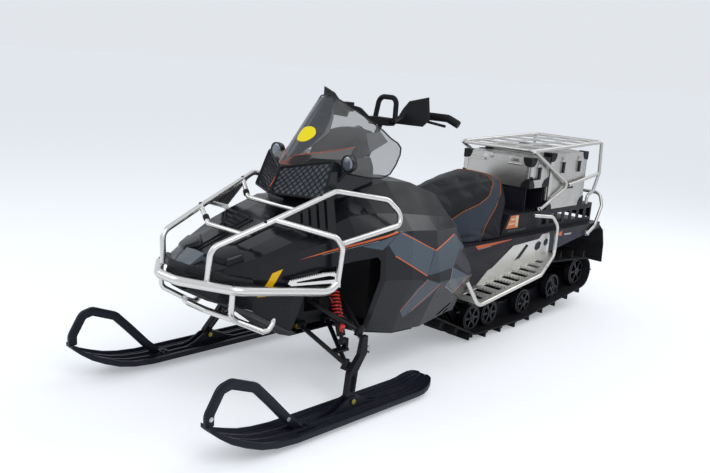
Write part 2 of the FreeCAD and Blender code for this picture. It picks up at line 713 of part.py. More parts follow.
def make_bulkhead():
    """Side plates for the arms' roots, cross beams and the pyramid of frame tubes."""
    plate = [(930.0, 288.0), (930.0, 470.0), (880.0, 490.0), (800.0, 500.0), (668.0, 505.0), (668.0, 405.0),
             (715.0, 385.0), (715.0, 288.0)]
    window = [(865.0, 345.0), (865.0, 395.0), (775.0, 400.0), (775.0, 340.0)]
    pieces = []
    for side in (-1, 1):
        low, high = sorted((side * (BULKHEAD_Y - 6), side * BULKHEAD_Y))
        pieces.append(side_plate(plate, low, high).cut(side_plate(window, low - 1, high + 1)))
    inner = BULKHEAD_Y - 6
    pieces.append(box(vec(924.0, -inner, 290.0), vec(930.0, inner, 440.0)))
    pieces.append(box(vec(715.0, -inner, 288.0), vec(900.0, inner, 294.0)))
    pieces.append(box(vec(750.0, -60.0, BELLY_WAIST_Z - BELLY_DIP + RUN), vec(860.0, 60.0, 290.0)))
    beam_z = SHOCK_TOP.z + SHOCK_EYE + RUN
    pieces.append(box(vec(SHOCK_TOP.x - 14, -SHOCK_TOP.y - 16, beam_z),
                      vec(SHOCK_TOP.x + 14, SHOCK_TOP.y + 16, beam_z + 18)))
    for x, z in ((ARM_FRONT_X, UPPER_ROOT_Z), (ARM_FRONT_X, LOWER_ROOT_Z), (UPPER_REAR_X, UPPER_ROOT_Z),
                 (LOWER_REAR_X, LOWER_ROOT_Z)):
        for side in (-1, 1):
            start = vec(x, side * (BULKHEAD_Y - 1), z)
            pieces.append(rod(start, vec(x, side * (ARM_ROOT_Y - EYE_R + 1 - RUN), z), 8.0))
    ring = along_axis(HEAD_CENTRE, POST_R + 14, -20, 20)
    for side in (-1, 1):
        shoulder = vec(HEAD_CENTRE.x, side * (POST_R + 8), HEAD_CENTRE.z)
        pieces.append(rod(vec(735.0, side * (BULKHEAD_Y - 3), 495.0), shoulder, 13.0))
        foot = vec(TUNNEL_FRONT_X - 30, side * (TUNNEL_HALF - 41.0), TUNNEL_TOP + RUN)
        pieces.append(rod(foot, shoulder, 13.0))
        pieces.append(box(foot - vec(26, 26, 0), foot + vec(26, 26, 14)))
    pieces.append(ring)
    whole = fused(pieces)
    below = box(vec(TUNNEL_FRONT_X - 80, -300, TUNNEL_TOP - 60), vec(TUNNEL_FRONT_X, 300, TUNNEL_TOP + RUN))
    return whole.cut(below).cut(along_axis(HEAD_CENTRE, POST_R + RUN, -40, 40))


HEAD_ALONG = 500.0
HEAD_CENTRE = PITMAN_CENTRE + STEER_AXIS * HEAD_ALONG
DAMPER_R = 9.0
SPRING_R = 26.0
SHOCK_EYE = 14.0
SHOCK_EYE_HALF = 13.0
SHOCK_TOP = vec(780.0, BULKHEAD_Y + 75.0, LOWER_ROOT_Z + 180.0)
SHOCK_FOOT_Y = KINGPIN_Y - 70.0
ARM_SHARE = (KINGPIN_Y - SHOCK_FOOT_Y) / (KINGPIN_Y - ARM_ROOT_Y)
SEAT_Z = LOWER_BALL.z + ARM_SHARE * (LOWER_ROOT_Z - LOWER_BALL.z)
SHOCK_FOOT = vec(812.0, SHOCK_FOOT_Y, SEAT_Z + 35.0)


def arm(ball, root_z, rear_x):
    """One control arm: two legs, root eyes along X and the eye round the ball pin."""
    pieces = [along_axis(ball, EYE_R, -EYE_LENGTH / 2, EYE_LENGTH / 2)]
    for x in (ARM_FRONT_X, rear_x):
        root = vec(x, ARM_ROOT_Y, root_z)
        pieces.append(rod(root, ball - STEER_AXIS * 3, ARM_TUBE / 2))
        pieces.append(rod(root - vec(22, 0, 0), root + vec(22, 0, 0), EYE_R - 1))
    whole = fused(pieces)
    return whole.cut(along_axis(ball, PIN_R + RUN, -EYE_LENGTH, EYE_LENGTH))


def lower_arm():
    """The left lower control arm with the shock's seat."""
    whole = arm(LOWER_BALL, LOWER_ROOT_Z, LOWER_REAR_X)
    front_x = LOWER_BALL.x + ARM_SHARE * (ARM_FRONT_X - LOWER_BALL.x)
    post_x = SHOCK_FOOT.x - SHOCK_EYE_HALF - RUN
    seat = box(vec(post_x - 13, SHOCK_FOOT.y - 18, SEAT_Z - 5), vec(front_x + 2, SHOCK_FOOT.y + 18, SEAT_Z + 5))
    post = box(vec(post_x - 13, SHOCK_FOOT.y - 12, SEAT_Z), vec(post_x, SHOCK_FOOT.y + 12, SHOCK_FOOT.z + 12))
    return fused([whole, seat, post])


def make_control_arms():
    """Upper and lower control arms, left and right."""
    upper = arm(UPPER_BALL, UPPER_ROOT_Z, UPPER_REAR_X)
    lower = lower_arm()
    return Part.makeCompound([upper, mirrored(upper), lower, mirrored(lower)])


def make_shocks():
    """Front shock absorbers with their coil springs, left and right."""
    axis = SHOCK_TOP - SHOCK_FOOT
    pieces = [rod(SHOCK_FOOT, SHOCK_TOP, DAMPER_R)]
    pieces.append(rod(SHOCK_FOOT + axis * 0.10, SHOCK_FOOT + axis * 0.42, DAMPER_R + 10))
    pieces.append(rod(SHOCK_FOOT + axis * 0.36, SHOCK_FOOT + axis * 0.88, SPRING_R))
    for place in (SHOCK_TOP, SHOCK_FOOT):
        pieces.append(rod(place - vec(SHOCK_EYE_HALF, 0, 0), place + vec(SHOCK_EYE_HALF, 0, 0), SHOCK_EYE))
    return both(fused(pieces))


# Skis and spindles

SKI_BOLT_R = 7.0
SPINDLE_HOLE = 20.0


def oval(start, end, radius, y_low, y_high):
    """A slot with round ends between two places, standing across from one y to another."""
    way = vec(0, y_high - y_low, 0)
    ends = [Part.makeCylinder(radius, y_high - y_low, vec(p.x, y_low, p.z), vec(0, 1, 0)) for p in (start, end)]
    run = vec(end.x - start.x, 0, end.z - start.z)
    side = run.cross(vec(0, 1, 0)) * (radius / run.Length)
    corners = [start - side, start + side, end + side, end - side]
    middle = Part.Face(polygon([vec(p.x, y_low, p.z) for p in corners])).extrude(way)
    return middle.fuse(ends)


def make_spindle():
    """The left spindle: lugs with pins in both arm eyes, outer web, steering arm and ski leg."""
    clear = EYE_LENGTH / 2 + RUN
    lug = 12.0
    web_y = KINGPIN_Y + 34
    pieces = []
    for ball, way in ((UPPER_BALL, -1), (LOWER_BALL, -1)):
        low, high = sorted((way * clear, way * (clear + lug)))
        pieces.append(along_axis(ball, EYE_R, low, high))
        pieces.append(along_axis(ball, PIN_R, low, clear + 8))
        pieces.append(along_axis(ball, EYE_R - 9, clear + RUN, clear + 7))
        middle = ball + STEER_AXIS * ((low + high) / 2)
        pieces.append(block_along(middle, middle + vec(0, 40, 0), 26.0, lug))
    top = UPPER_BALL + STEER_AXIS * (-clear - lug / 2)
    foot = LOWER_BALL + STEER_AXIS * (-clear - lug / 2)
    # Web stations: x, y, z, half length fore and aft, half thickness
    web = [(top.x, web_y, top.z + 8, 14.0, 10.0), (top.x + 18, web_y + 10, top.z - 62, 20.0, 11.0),
           (foot.x, web_y + 8, foot.z, 24.0, 12.0), (SKI_BOLT_X, SKI_Y, SKI_BOLT_Z + 22, 22.0, 13.0),
           (SKI_BOLT_X, SKI_Y, SKI_BOLT_Z - 14, 17.0, 13.0)]
    sections = []
    for x, y, z, along, thick in web:
        sections.append(polygon([vec(x - along, y - thick, z), vec(x + along, y - thick, z),
                                 vec(x + along, y + thick, z), vec(x - along, y + thick, z)]))
    pieces.append(loft(sections))
    root = STEER_ARM_ROOT + vec(0, web_y - KINGPIN_Y, 0)
    pieces.append(block_along(root, ROD_OUTER + vec(0, 4, 0), 20.0, PLATE))
    pieces.append(along_axis(ROD_OUTER, 13.0, -PLATE / 2, PLATE / 2))
    pieces.append(along_axis(ROD_OUTER, 5.0, -PLATE / 2, PLATE / 2 + 20))
    whole = fused(pieces)
    bolt = rod(vec(SKI_BOLT_X, SKI_Y - 60, SKI_BOLT_Z), vec(SKI_BOLT_X, SKI_Y + 60, SKI_BOLT_Z), SKI_BOLT_R + RUN)
    high = vec(foot.x + 5, 0, foot.z - 16)
    low = vec(SKI_BOLT_X - 9, 0, SKI_BOLT_Z + 42)
    return whole.cut(bolt).cut(oval(high, low, SPINDLE_HOLE / 2, KINGPIN_Y, SKI_Y + 60))


def block_along(start, end, width, height):
    """A flat bar between two points, its height along the steering direction."""
    run = end - start
    flat = run.cross(STEER_AXIS)
    side = flat * (width / 2 / flat.Length)
    up = STEER_AXIS * (height / 2)
    corners = [start - side - up, start + side - up, start + side + up, start - side + up]
    return Part.Face(polygon(corners)).extrude(run)


# Ski sole: x, height of the underside
SKI_LINE = [(SKI_TAIL_X, 34.0), (480.0, KEEL), (1240.0, KEEL), (1400.0, 42.0), (1520.0, 92.0), (SKI_TIP_X - 6, 150.0)]


def make_ski():
    """The left ski: sole with a keel, side ribs and the saddle for the spindle."""
    # Half widths follow the sole line
    halves = [58.0, SKI_HALF, SKI_HALF, SKI_HALF - 6, 58.0, 34.0]
    sections = []
    for (x, z), half in zip(SKI_LINE, halves):
        top = z + SKI_SOLE
        sections.append(polygon([vec(x, SKI_Y - half, z), vec(x, SKI_Y + half, z), vec(x, SKI_Y + half, top + 16),
                                 vec(x, SKI_Y + half - 8, top + 16), vec(x, SKI_Y + half - 12, top),
                                 vec(x, SKI_Y - half + 12, top), vec(x, SKI_Y - half + 8, top + 16),
                                 vec(x, SKI_Y - half, top + 16)]))
    body = loft(sections)
    keel = side_plate([(500.0, KEEL + 2), (530.0, 0.0), (1180.0, 0.0), (1240.0, KEEL + 2)], SKI_Y - 9, SKI_Y + 9)
    gap = 13.0 + RUN
    ears = []
    top = KEEL + SKI_SOLE - 1
    for low, high in ((SKI_Y - gap - 9, SKI_Y - gap), (SKI_Y + gap, SKI_Y + gap + 9)):
        ears.append(side_plate([(SKI_BOLT_X - 190, top), (SKI_BOLT_X - 30, SKI_BOLT_Z + 14),
                                (SKI_BOLT_X + 26, SKI_BOLT_Z + 14), (SKI_BOLT_X + 170, top)], low, high))
    reach = gap + 16
    bolt = rod(vec(SKI_BOLT_X, SKI_Y - reach, SKI_BOLT_Z), vec(SKI_BOLT_X, SKI_Y + reach, SKI_BOLT_Z), SKI_BOLT_R)
    return fused([body, keel] + ears + [bolt])


def make_ski_handle():
    """The left ski's bow: a flat strap from the tip over to the middle of the ski."""
    half = 9.0
    z_foot = KEEL + SKI_SOLE + RUN
    outer = [(SKI_TIP_X, 158.0 + 4), (1505.0, 305.0), (1372.0, 262.0), (1290.0, 150.0), (1160.0, z_foot + 34)]
    inner = [(1130.0, z_foot), (1185.0, z_foot), (1262.0, 112.0), (1348.0, 226.0), (1492.0, 262.0),
             (SKI_TIP_X - 42, 170.0), (SKI_TIP_X - 40, 160.0)]
    strap = side_plate(outer + inner, SKI_Y - half, SKI_Y + half)
    foot = box(vec(1120.0, SKI_Y - 40, z_foot), vec(1190.0, SKI_Y + 40, z_foot + 12))
    return fused([strap, foot])


ROD_LIFT = PLATE / 2 + RUN


def make_tie_rod():
    """The left tie rod, its eyes on the spindle's and the column's plates."""
    outer = ROD_OUTER + STEER_AXIS * (ROD_LIFT + 9)
    inner = PITMAN_CENTRE + BACKWARD * PITMAN_ARM - STEER_AXIS * (ROD_LIFT + 9) + vec(0, ROD_INNER_Y, 0)
    pieces = [rod(outer, inner, 8.0)]
    for place in (outer, inner):
        pieces.append(along_axis(place, 14.0, -9, 9))
    whole = fused(pieces)
    return whole.cut(along_axis(outer, 5.0 + RUN, -20, 20))


def make_steering_post():
    """The steering column with its pitman plate and bar clamp."""
    foot = PITMAN_CENTRE
    top = foot + STEER_AXIS * POST_LENGTH
    plate_tip = foot + BACKWARD * PITMAN_ARM
    pieces = [rod(foot - STEER_AXIS * (PLATE / 2), top, POST_R)]
    pieces.append(block_along(foot, plate_tip + BACKWARD * 14, 110.0, PLATE))
    return fused(pieces)


BAR_CENTRE = PITMAN_CENTRE + STEER_AXIS * (POST_LENGTH + BAR_TUBE / 2 + 4)


def make_handlebar():
    """The bar with clamp, grips, switch blocks, levers and the centre grab loop."""
    c = BAR_CENTRE
    half = [vec(c.x, 0, c.z), vec(c.x, 75, c.z), vec(c.x + 8, 135, c.z + 42), vec(c.x, 250, c.z + 52),
            vec(c.x - 26, 362, c.z + 50), vec(c.x - 40, 412, c.z + 26)]
    points = [vec(p.x, -p.y, p.z) for p in reversed(half[1:])] + half[1:]
    pieces = [tube(points, BAR_TUBE, 40.0)]
    for side in (-1, 1):
        grip = [vec(p.x, side * p.y, p.z) for p in (half[3] + vec(-2, 18, 0), half[4], half[5])]
        pieces.append(tube(grip, 33.0, 30.0))
        block = vec(c.x + 2, side * 225, c.z + 50)
        pieces.append(box(block - vec(22, 24, 24), block + vec(26, 24, 20)))
        lever = [vec(c.x + 26, side * 215, c.z + 40), vec(c.x + 44, side * 290, c.z + 32),
                 vec(c.x + 18, side * 385, c.z + 18)]
        pieces.append(tube(lever, 12.0, 40.0))
    pieces.append(box(vec(c.x - 24, -60, c.z - 15), vec(c.x + 24, 60, c.z + 20)))
    loop = [vec(c.x - 22, -62, c.z + 8), vec(c.x - 34, -52, c.z + 112), vec(c.x - 34, 52, c.z + 112),
            vec(c.x - 22, 62, c.z + 8)]
    pieces.append(tube(loop, 24.0, 34.0))
    whole = fused(pieces)
    return whole.cut(along_axis(PITMAN_CENTRE, POST_R + RUN, 0, POST_LENGTH + RUN))


def make_hand_guards():
    """Curved shields in front of the grips, carried by the bar."""
    c = BAR_CENTRE
    # Shield stations across: y, x of the face, bottom and top height
    stations = [(160.0, 66.0, 22.0, 52.0), (215.0, 84.0, 2.0, 92.0), (300.0, 92.0, -6.0, 132.0),
                (372.0, 76.0, 10.0, 138.0), (398.0, 48.0, 40.0, 128.0)]
    sections = []
    for y, x, low, high in stations:
        sections.append(polygon([vec(c.x + x, y, c.z + low), vec(c.x + x + 5, y, c.z + low),
                                 vec(c.x + x + 5, y, c.z + high), vec(c.x + x, y, c.z + high)]))
    arm_bar = rod(vec(c.x + 28 + RUN, 210, c.z + 57), vec(c.x + 87, 210, c.z + 57), 9.0)
    shield = fused([loft(sections), arm_bar])
    return both(shield)


# Bumper

# Left halves of the tubes' routes: x, distance from the middle as a share of the tunnel's half width, z
MAIN_ROUTE = [(868.0, 1.271, 520.0), (915.0, 1.263, 489.0), (1307.0, 0.97, 533.0), (1440.0, 0.233, 546.0)]
SKID_ROUTE = [(1150.0, 0.883, 338.0), (1262.0, 0.564, 392.0), (1300.0, 0.226, 405.0)]
STRUT_ROUTE = [(1316.0, 0.902, 530.0), (1314.0, 0.872, 432.0), (1238.0, 0.639, 384.0)]
RAIL_MAIN = [(1365.0, 0.549, 556.0), (1362.0, 0.602, 680.0), (1125.0, 0.797, 768.0), (833.0, 0.985, 876.0),
             (581.0, 1.211, 832.0), (530.0, 1.323, 776.0), (540.0, 1.361, 728.0), (888.0, 1.398, 690.0)]
RAIL_SECOND = [(1107.0, 0.808, 774.0), (905.0, 1.331, 712.0), (886.0, 1.398, 672.0), (872.0, 1.297, 530.0)]
REAR_CROSS = [(900.0, 0.94, 851.0), (930.0, 0.647, 786.0)]
FRONT_CROSS = [(1150.0, 0.774, 760.0), (1165.0, 0.489, 700.0)]
# Slotted plate between the two upper rails: corners as above, then its slots as shares of its front edge
WEB_CORNERS = [(1100.0, 0.813, 773.5), (845.0, 0.977, 871.0), (905.0, 1.329, 714.0)]
WEB_SHEET = 4.0
WEB_SLOT = 12.0
WEB_SLOTS = (0.42, 0.56, 0.70, 0.84)


def wide(route):
    """A route's points, each as far from the middle as its share of the tunnel's half width."""
    return [vec(x, share * TUNNEL_HALF, z) for x, share, z in route]


def whole_route(left):
    """A route from its left half: the same points mirrored after it."""
    return left + [vec(p.x, -p.y, p.z) for p in reversed(left)]


def main_tube(grow):
    """The thick lower tube, grown by grow."""
    return tube(whole_route(wide(MAIN_ROUTE)), MAIN_TUBE + 2 * grow, 70.0)


def make_bumper_main():
    """The thick lower tube round the nose, its skid tube below and the struts between."""
    pieces = [main_tube(0.0), tube(whole_route(wide(SKID_ROUTE)), SKID_TUBE, 60.0)]
    strut = tube(wide(STRUT_ROUTE), STRUT_TUBE, 30.0)
    carrier = rod(vec(888.0, MAIN_ROUTE[1][1] * TUNNEL_HALF - 6, 505.0), vec(892.0, BULKHEAD_Y + RUN, 476.0), 10.0)
    pieces += [strut, mirrored(strut), carrier, mirrored(carrier)]
    whole = fused(pieces)
    return whole.cut(box(vec(800, -BULKHEAD_Y - RUN, 400), vec(1000, BULKHEAD_Y + RUN, 560)))


def rail_web():
    """The left triangular plate between the upper rails, with its upright slots."""
    front, top, low = wide(WEB_CORNERS)
    across_plate = (low - front).cross(top - front)
    across_plate.normalize()
    start = across_plate * (-WEB_SHEET / 2)
    plate = Part.Face(polygon([p + start for p in (front, top, low)])).extrude(across_plate * WEB_SHEET)
    for share in WEB_SLOTS:
        high_end = front + (top - front) * share
        low_end = front + (low - front) * share
        run = low_end - high_end
        middle = high_end + run * 0.5
        reach = run * 0.5 - run * (16.0 / run.Length)
        side = run.cross(across_plate) * (WEB_SLOT / 2 / run.Length)
        corners = [middle - reach - side, middle - reach + side, middle + reach + side, middle + reach - side]
        cutter = Part.Face(polygon([p - across_plate * 10 for p in corners])).extrude(across_plate * 20)
        plate = plate.cut(cutter)
    return plate


def make_bumper_rails():
    """The upper rails of the bumper, the plates and the cross tubes between them, welded to one frame."""
    left = [tube(wide(RAIL_MAIN), RAIL_TUBE, 48.0), tube(wide(RAIL_SECOND), RAIL_TUBE, 40.0), rail_web()]
    pieces = left + [mirrored(piece) for piece in left]
    for cross in (REAR_CROSS, FRONT_CROSS):
        pieces.append(tube(whole_route(wide(cross)), CROSS_TUBE, 30.0))
    whole = fused(pieces)
    return whole.cut(main_tube(RUN))


# Lamps, screen and pod

# Pod's level outlines: z, x of the ridge in front, x and half width of the front corners, half width behind
POD = [(690.0, 868.0, 800.0, 168.0, 160.0), (806.0, 880.0, 812.0, 186.0, 168.0), (830.0, 950.0, 843.0, 200.0, 170.0),
       (942.0, 901.0, 806.0, 200.0, 170.0), (986.0, 860.0, 768.0, 176.0, 150.0)]
POD_REAR_X = 520.0
LAMP_Y = 224.0
LAMP_Z = 978.0
LAMP_R = 29.0
LAMP_FRONT_X = 742.0
LAMP_DEPTH = 42.0


def crown_fill():
    """Everything under the bonnet's and console's upper faces, lifted by a running gap."""
    sections = []
    for station in STATIONS:
        half = [(y, z + RUN) for y, z in station[1:4]]
        ring = [(-y, z) for y, z in reversed(half[1:])] + half
        sections.append(across(station[0], ring + [(half[-1][0], 400.0), (-half[-1][0], 400.0)]))
    return loft(sections)


def make_headlight_pod():
    """The lamp pod with its two sloped faces, which carries the screen and the two spot lamps' stalks."""
    sections = []
    for z, ridge, corner, half, rear_half in POD:
        sections.append(polygon([vec(ridge, 0, z), vec(corner, half, z), vec(POD_REAR_X, rear_half, z),
                                 vec(POD_REAR_X, -rear_half, z), vec(corner, -half, z)]))
    whole = loft(sections)
    for side in (-1, 1):
        stalk = rod(vec(770.0, side * 178.0, 880.0), vec(720.0, side * (LAMP_Y - 6), LAMP_Z - 20), 8.0)
        whole = whole.fuse(stalk)
    for side in (-1, 1):
        whole = whole.cut(lamp(side, RUN))
    return whole.cut(crown_fill()).cut(screen(RUN))


def lamp(side, grow):
    """One round spot lamp, grown by grow."""
    start = vec(LAMP_FRONT_X - LAMP_DEPTH - grow, side * LAMP_Y, LAMP_Z)
    return Part.makeCylinder(LAMP_R + grow, LAMP_DEPTH + 2 * grow, start, vec(1, 0, 0))


WIND_SLOPE = vec(-244.0, 0, 305.0)
# Half of the screen's plan: distance behind its leading line, y
WIND_PLAN = [(0.0, 0.0), (22.0, 52.0), (78.0, 106.0), (196.0, 198.0), (358.0, 305.0)]
WIND_TIP = vec(908.0, 0, 940.0)
WIND_THICK = 4.0
# Half of the screen's outline from the front: y, z
WIND_OUTLINE = [(0.0, 946.0), (178.0, 938.0), (257.0, 920.0), (288.0, 921.0), (301.0, 938.0), (302.0, 975.0),
                (298.0, 1016.0), (290.0, 1045.0), (276.0, 1064.0), (252.0, 1083.0), (222.0, 1114.0), (176.0, 1151.0),
                (128.0, 1185.0), (83.0, 1214.0), (45.0, 1236.0), (0.0, 1244.0)]


def screen(grow):
    """The screen's bent sheet trimmed to its outline, grown by grow."""
    front = [vec(WIND_TIP.x - d + grow, y, WIND_TIP.z) for d, y in WIND_PLAN]
    front = [vec(p.x, -p.y, p.z) for p in reversed(front[1:])] + front
    back = [p - vec(WIND_THICK * 1.4 + 2 * grow, 0, 0) for p in front]
    base = Part.Face(polygon(front + list(reversed(back))))
    base.translate(WIND_SLOPE * -0.3)
    sheet = base.extrude(WIND_SLOPE * 1.5)
    outline = WIND_OUTLINE + [(-y, z) for y, z in reversed(WIND_OUTLINE[1:-1])]
    outline = [(y, z - grow * 2 if z < 1000 else z) for y, z in outline]
    cutter = Part.Face(polygon([vec(0, y, z) for y, z in outline])).extrude(vec(1200, 0, 0))
    return sheet.common(cutter)


def make_windshield():
    """The clear screen: one bent sheet, trimmed to its outline."""
    return screen(0.0)


def make_lamps():
    """Two round spot lamps beside the pod."""
    return Part.makeCompound([lamp(-1, 0.0), lamp(1, 0.0)])


# Seat, covers and engine

# Seat stations: x, crown height, half width and height at the top edge and at the waist, half width at the foot
SEAT = [
    (18.0, 792.0, 86.0, 778.0, 128.0, 690.0, 150.0),
    (-100.0, 812.0, 96.0, 796.0, 150.0, 690.0, 190.0),
    (-213.0, 835.0, 118.0, 814.0, 172.0, 705.0, 224.0),
    (-350.0, 856.0, 142.0, 834.0, 186.0, 730.0, 236.0),
    (-480.0, 865.0, 152.0, 842.0, 190.0, 745.0, 236.0),
    (-540.0, 852.0, 146.0, 826.0, 182.0, 740.0, 226.0),
    (-596.0, 775.0, 124.0, 758.0, 155.0, 700.0, 200.0),
]
SEAT_FOOT_Z = TUNNEL_TOP + RUN
# What the seat's sloped rear face cuts off, in side view: x, z
SEAT_REAR_CUT = [(-438.0, 530.0), (-608.0, 800.0), (-700.0, 800.0), (-700.0, 530.0)]


def make_seat():
    """The long saddle on the tunnel."""
    sections = []
    for x, crown, top_y, top_z, waist_y, waist_z, foot_y in SEAT:
        half = [(foot_y, SEAT_FOOT_Z), (waist_y, waist_z), (top_y, top_z), (0.0, crown)]
        sections.append(across(x, half + [(-y, z) for y, z in reversed(half[:-1])]))
    whole = loft(sections)
    return whole.cut(side_plate(SEAT_REAR_CUT, -300, 300))


def make_seat_base():
    """The narrow covers along the tunnel's top edges under the seat."""
    low = TUNNEL_TOP - 42
    outline = [(-30.0, low - 12), (-30.0, TUNNEL_TOP + 2), (-800.0, TUNNEL_TOP + 2), (-760.0, low + 14), (-420.0, low)]
    start = TUNNEL_HALF + 2 * RUN + BOARD_SHEET
    cover = side_plate(outline, start, start + SKIN)
    top = box(vec(-800.0, TUNNEL_HALF - 22, TUNNEL_TOP + RUN), vec(-30.0, start + SKIN, TUNNEL_TOP + 3))
    return both(fused([cover, top]))


def make_rear_case():
    """The closed storage case behind the seat."""
    low = TUNNEL_TOP + RUN
    outline = [(-448.0, low), (-524.0, DECK_Z), (-800.0, DECK_Z), (-800.0, low)]
    return side_plate(outline, -CASE_HALF, CASE_HALF)


def make_engine_block():
    """The engine as one plain block."""
    return box(vec(TUNNEL_FRONT_X + RUN, -200.0, 262.0), vec(528.0, 200.0, 560.0))


# Rear deck, rack, cases and tail

DECK_SHEET = 5.0
DECK_HOLE_PITCH = 84.0
DECK_HOLE = 52.0
STAND_HALF = CASE_HALF - 22.0


def make_rear_deck():
    """The deck over the tunnel's rear with its holed side rails, and the stand under the front case."""
    pieces = [box(vec(DECK_REAR_X, -DECK_HALF, DECK_Z - DECK_SHEET), vec(DECK_FRONT_X, DECK_HALF, DECK_Z))]
    foot = TUNNEL_TOP + RUN
    rail = [(DECK_FRONT_X, foot), (DECK_FRONT_X, DECK_Z - 4), (DECK_REAR_X, DECK_Z - 4), (DECK_REAR_X, foot)]
    plate = side_plate(rail, DECK_HALF - TUNNEL_SHEET, DECK_HALF)
    for i in range(7):
        x = DECK_FRONT_X - 55.0 - DECK_HOLE_PITCH * i
        hole = [(x, foot + 30), (x, foot + 85), (x - DECK_HOLE, foot + 85), (x - DECK_HOLE, foot + 30)]
        plate = plate.cut(side_plate(hole, DECK_HALF - 10, DECK_HALF + 10))
    pieces += [plate, mirrored(plate)]
    stand_front = FRONT_CASE_X - 10.0
    stand_rear = FRONT_CASE_X - FRONT_CASE_LENGTH + 3.0
    low = STAND_TOP_Z - DECK_SHEET
    pieces.append(box(vec(stand_rear, -STAND_HALF, low), vec(stand_front, STAND_HALF, STAND_TOP_Z)))
    pieces.append(box(vec(stand_rear, -STAND_HALF, DECK_Z - 1), vec(stand_rear + DECK_SHEET, STAND_HALF, low + 1)))
    pieces.append(box(vec(stand_front - DECK_SHEET, -STAND_HALF, DECK_Z + RUN), vec(stand_front, STAND_HALF, low + 1)))
    wall_half = DECK_HALF - 2.0
    pieces.append(box(vec(DECK_REAR_X, -wall_half, foot + 25), vec(DECK_REAR_X + DECK_SHEET, wall_half, DECK_Z - 1)))
    return fused(pieces)


# Rack: heights of the top frame's front and rear, its ends, and the lowest corner of its side frames
CAGE_FRONT_X = -668.0
CAGE_REAR_X = DECK_REAR_X
CAGE_FRONT_Z = 987.0
CAGE_REAR_Z = 1017.0
CAGE_HALF = CASE_HALF + 19.0
CAGE_REAR_HALF = CASE_HALF + 6.0
CAGE_WAIST_HALF = CASE_HALF + 22.0
SLAT_PITCH = 152.0


def make_cage():
    """The tubular rack: rounded top frame with slats, and the bent side frames down to the deck."""
    corner = vec(CAGE_FRONT_X, CAGE_HALF, CAGE_FRONT_Z)
    rear_corner = vec(CAGE_REAR_X, CAGE_REAR_HALF, CAGE_REAR_Z)
    route_points = [vec(CAGE_FRONT_X, 0, CAGE_FRONT_Z), corner, rear_corner, vec(CAGE_REAR_X, 0, CAGE_REAR_Z)]
    half = tube(route_points, CAGE_TUBE, 40.0)
    pieces = [half, mirrored(half)]
    slope = (CAGE_REAR_Z - CAGE_FRONT_Z) / (CAGE_REAR_X - CAGE_FRONT_X)
    for i in range(1, 5):
        x = CAGE_FRONT_X - SLAT_PITCH * i
        z = CAGE_FRONT_Z + (x - CAGE_FRONT_X) * slope
        pieces.append(box(vec(x - 14, -CAGE_HALF + 5, z - 4), vec(x + 14, CAGE_HALF - 5, z + 4)))
    side_waist = vec(-1075.0, CAGE_WAIST_HALF, 782.0)
    side_foot = vec(-790.0, CASE_HALF + 16.0, DECK_Z + 12.0)
    # The rear posts from the top frame down to the deck: x, distance from the cases' sides, z
    post = ((-1428.0, 16.0, 832.0), (-1395.0, 8.0, 722.0), (-1350.0, 0.0, 700.0), (-1340.0, 0.0, DECK_Z + RUN))
    rear = [vec(-1428.0, CAGE_REAR_HALF, CAGE_REAR_Z)] + [vec(x, CASE_HALF + y, z) for x, y, z in post]
    frame = [tube([corner, side_waist, side_foot], CAGE_TUBE, 26.0), tube(rear, CAGE_TUBE, 30.0)]
    frame.append(rod(side_waist + vec(5, 0, 0), rear[1], CAGE_TUBE / 2))
    frame.append(rod(side_foot + vec(0, 0, 4), vec(-824.0, CASE_HALF - 14.0, DECK_Z + 10), CAGE_TUBE / 2))
    pieces += frame + [mirrored(piece) for piece in frame]
    whole = fused(pieces)
    return whole.cut(box(vec(-1500, -400, 500), vec(-600, 400, DECK_Z + RUN)))


# Cases: name, front x, rear x, half width, bottom, top of the body
FRONT_CASE_REAR_X = FRONT_CASE_X - FRONT_CASE_LENGTH
REAR_CASE_X = FRONT_CASE_REAR_X - CASE_GAP
REAR_CASE_REAR_X = REAR_CASE_X - REAR_CASE_LENGTH
CASES = {
    "box_front": (FRONT_CASE_X, FRONT_CASE_REAR_X, CASE_HALF, STAND_TOP_Z + RUN, STAND_TOP_Z + FRONT_CASE_HEIGHT),
    "box_rear": (REAR_CASE_X, REAR_CASE_REAR_X, CASE_HALF, DECK_Z + RUN, DECK_Z + REAR_CASE_HEIGHT),
}
HINGE_R = 5.0
# Case hinges: whether the axis runs across, and the places of the lids' knuckles along it
HINGES = {
    "box_front": (True, (-120.0, 120.0)),
    "box_rear": (False, (REAR_CASE_X - 85.0, REAR_CASE_REAR_X + 85.0)),
}
KNUCKLE = 30.0


def knuckles(name, of_lid):
    """The hinge's round knuckles with their leaves: the middle ones on the lid, the outer ones on the case."""
    front, rear, half, low, high = CASES[name]
    across_case, places = HINGES[name]
    pieces = []
    offsets = (0.0,) if of_lid else (-KNUCKLE - RUN, KNUCKLE + RUN)
    for place in places:
        for offset in offsets:
            start, end = place + offset - KNUCKLE / 2, place + offset + KNUCKLE / 2
            z = high + RUN / 2
            leaf_low, leaf_high = (high + RUN, z + HINGE_R) if of_lid else (z - HINGE_R, high)
            if across_case:
                axis_x = front + HINGE_R + 1
                pieces.append(rod(vec(axis_x, start, z), vec(axis_x, end, z), HINGE_R))
                pieces.append(box(vec(front - 1, start, leaf_low), vec(axis_x, end, leaf_high)))
            else:
                axis_y = -half - HINGE_R - 1
                pieces.append(rod(vec(start, axis_y, z), vec(end, axis_y, z), HINGE_R))
                pieces.append(box(vec(start, axis_y, leaf_low), vec(end, -half + 1, leaf_high)))
    return pieces


def make_case(name):
    """An open-topped sheet case with its share of the hinges."""
    front, rear, half, low, high = CASES[name]
    outer = box(vec(rear, -half, low), vec(front, half, high))
    wall = CASE_SHEET
    inner = box(vec(rear + wall, -half + wall, low + wall), vec(front - wall, half - wall, high + 1))
    return fused([outer.cut(inner)] + knuckles(name, False))


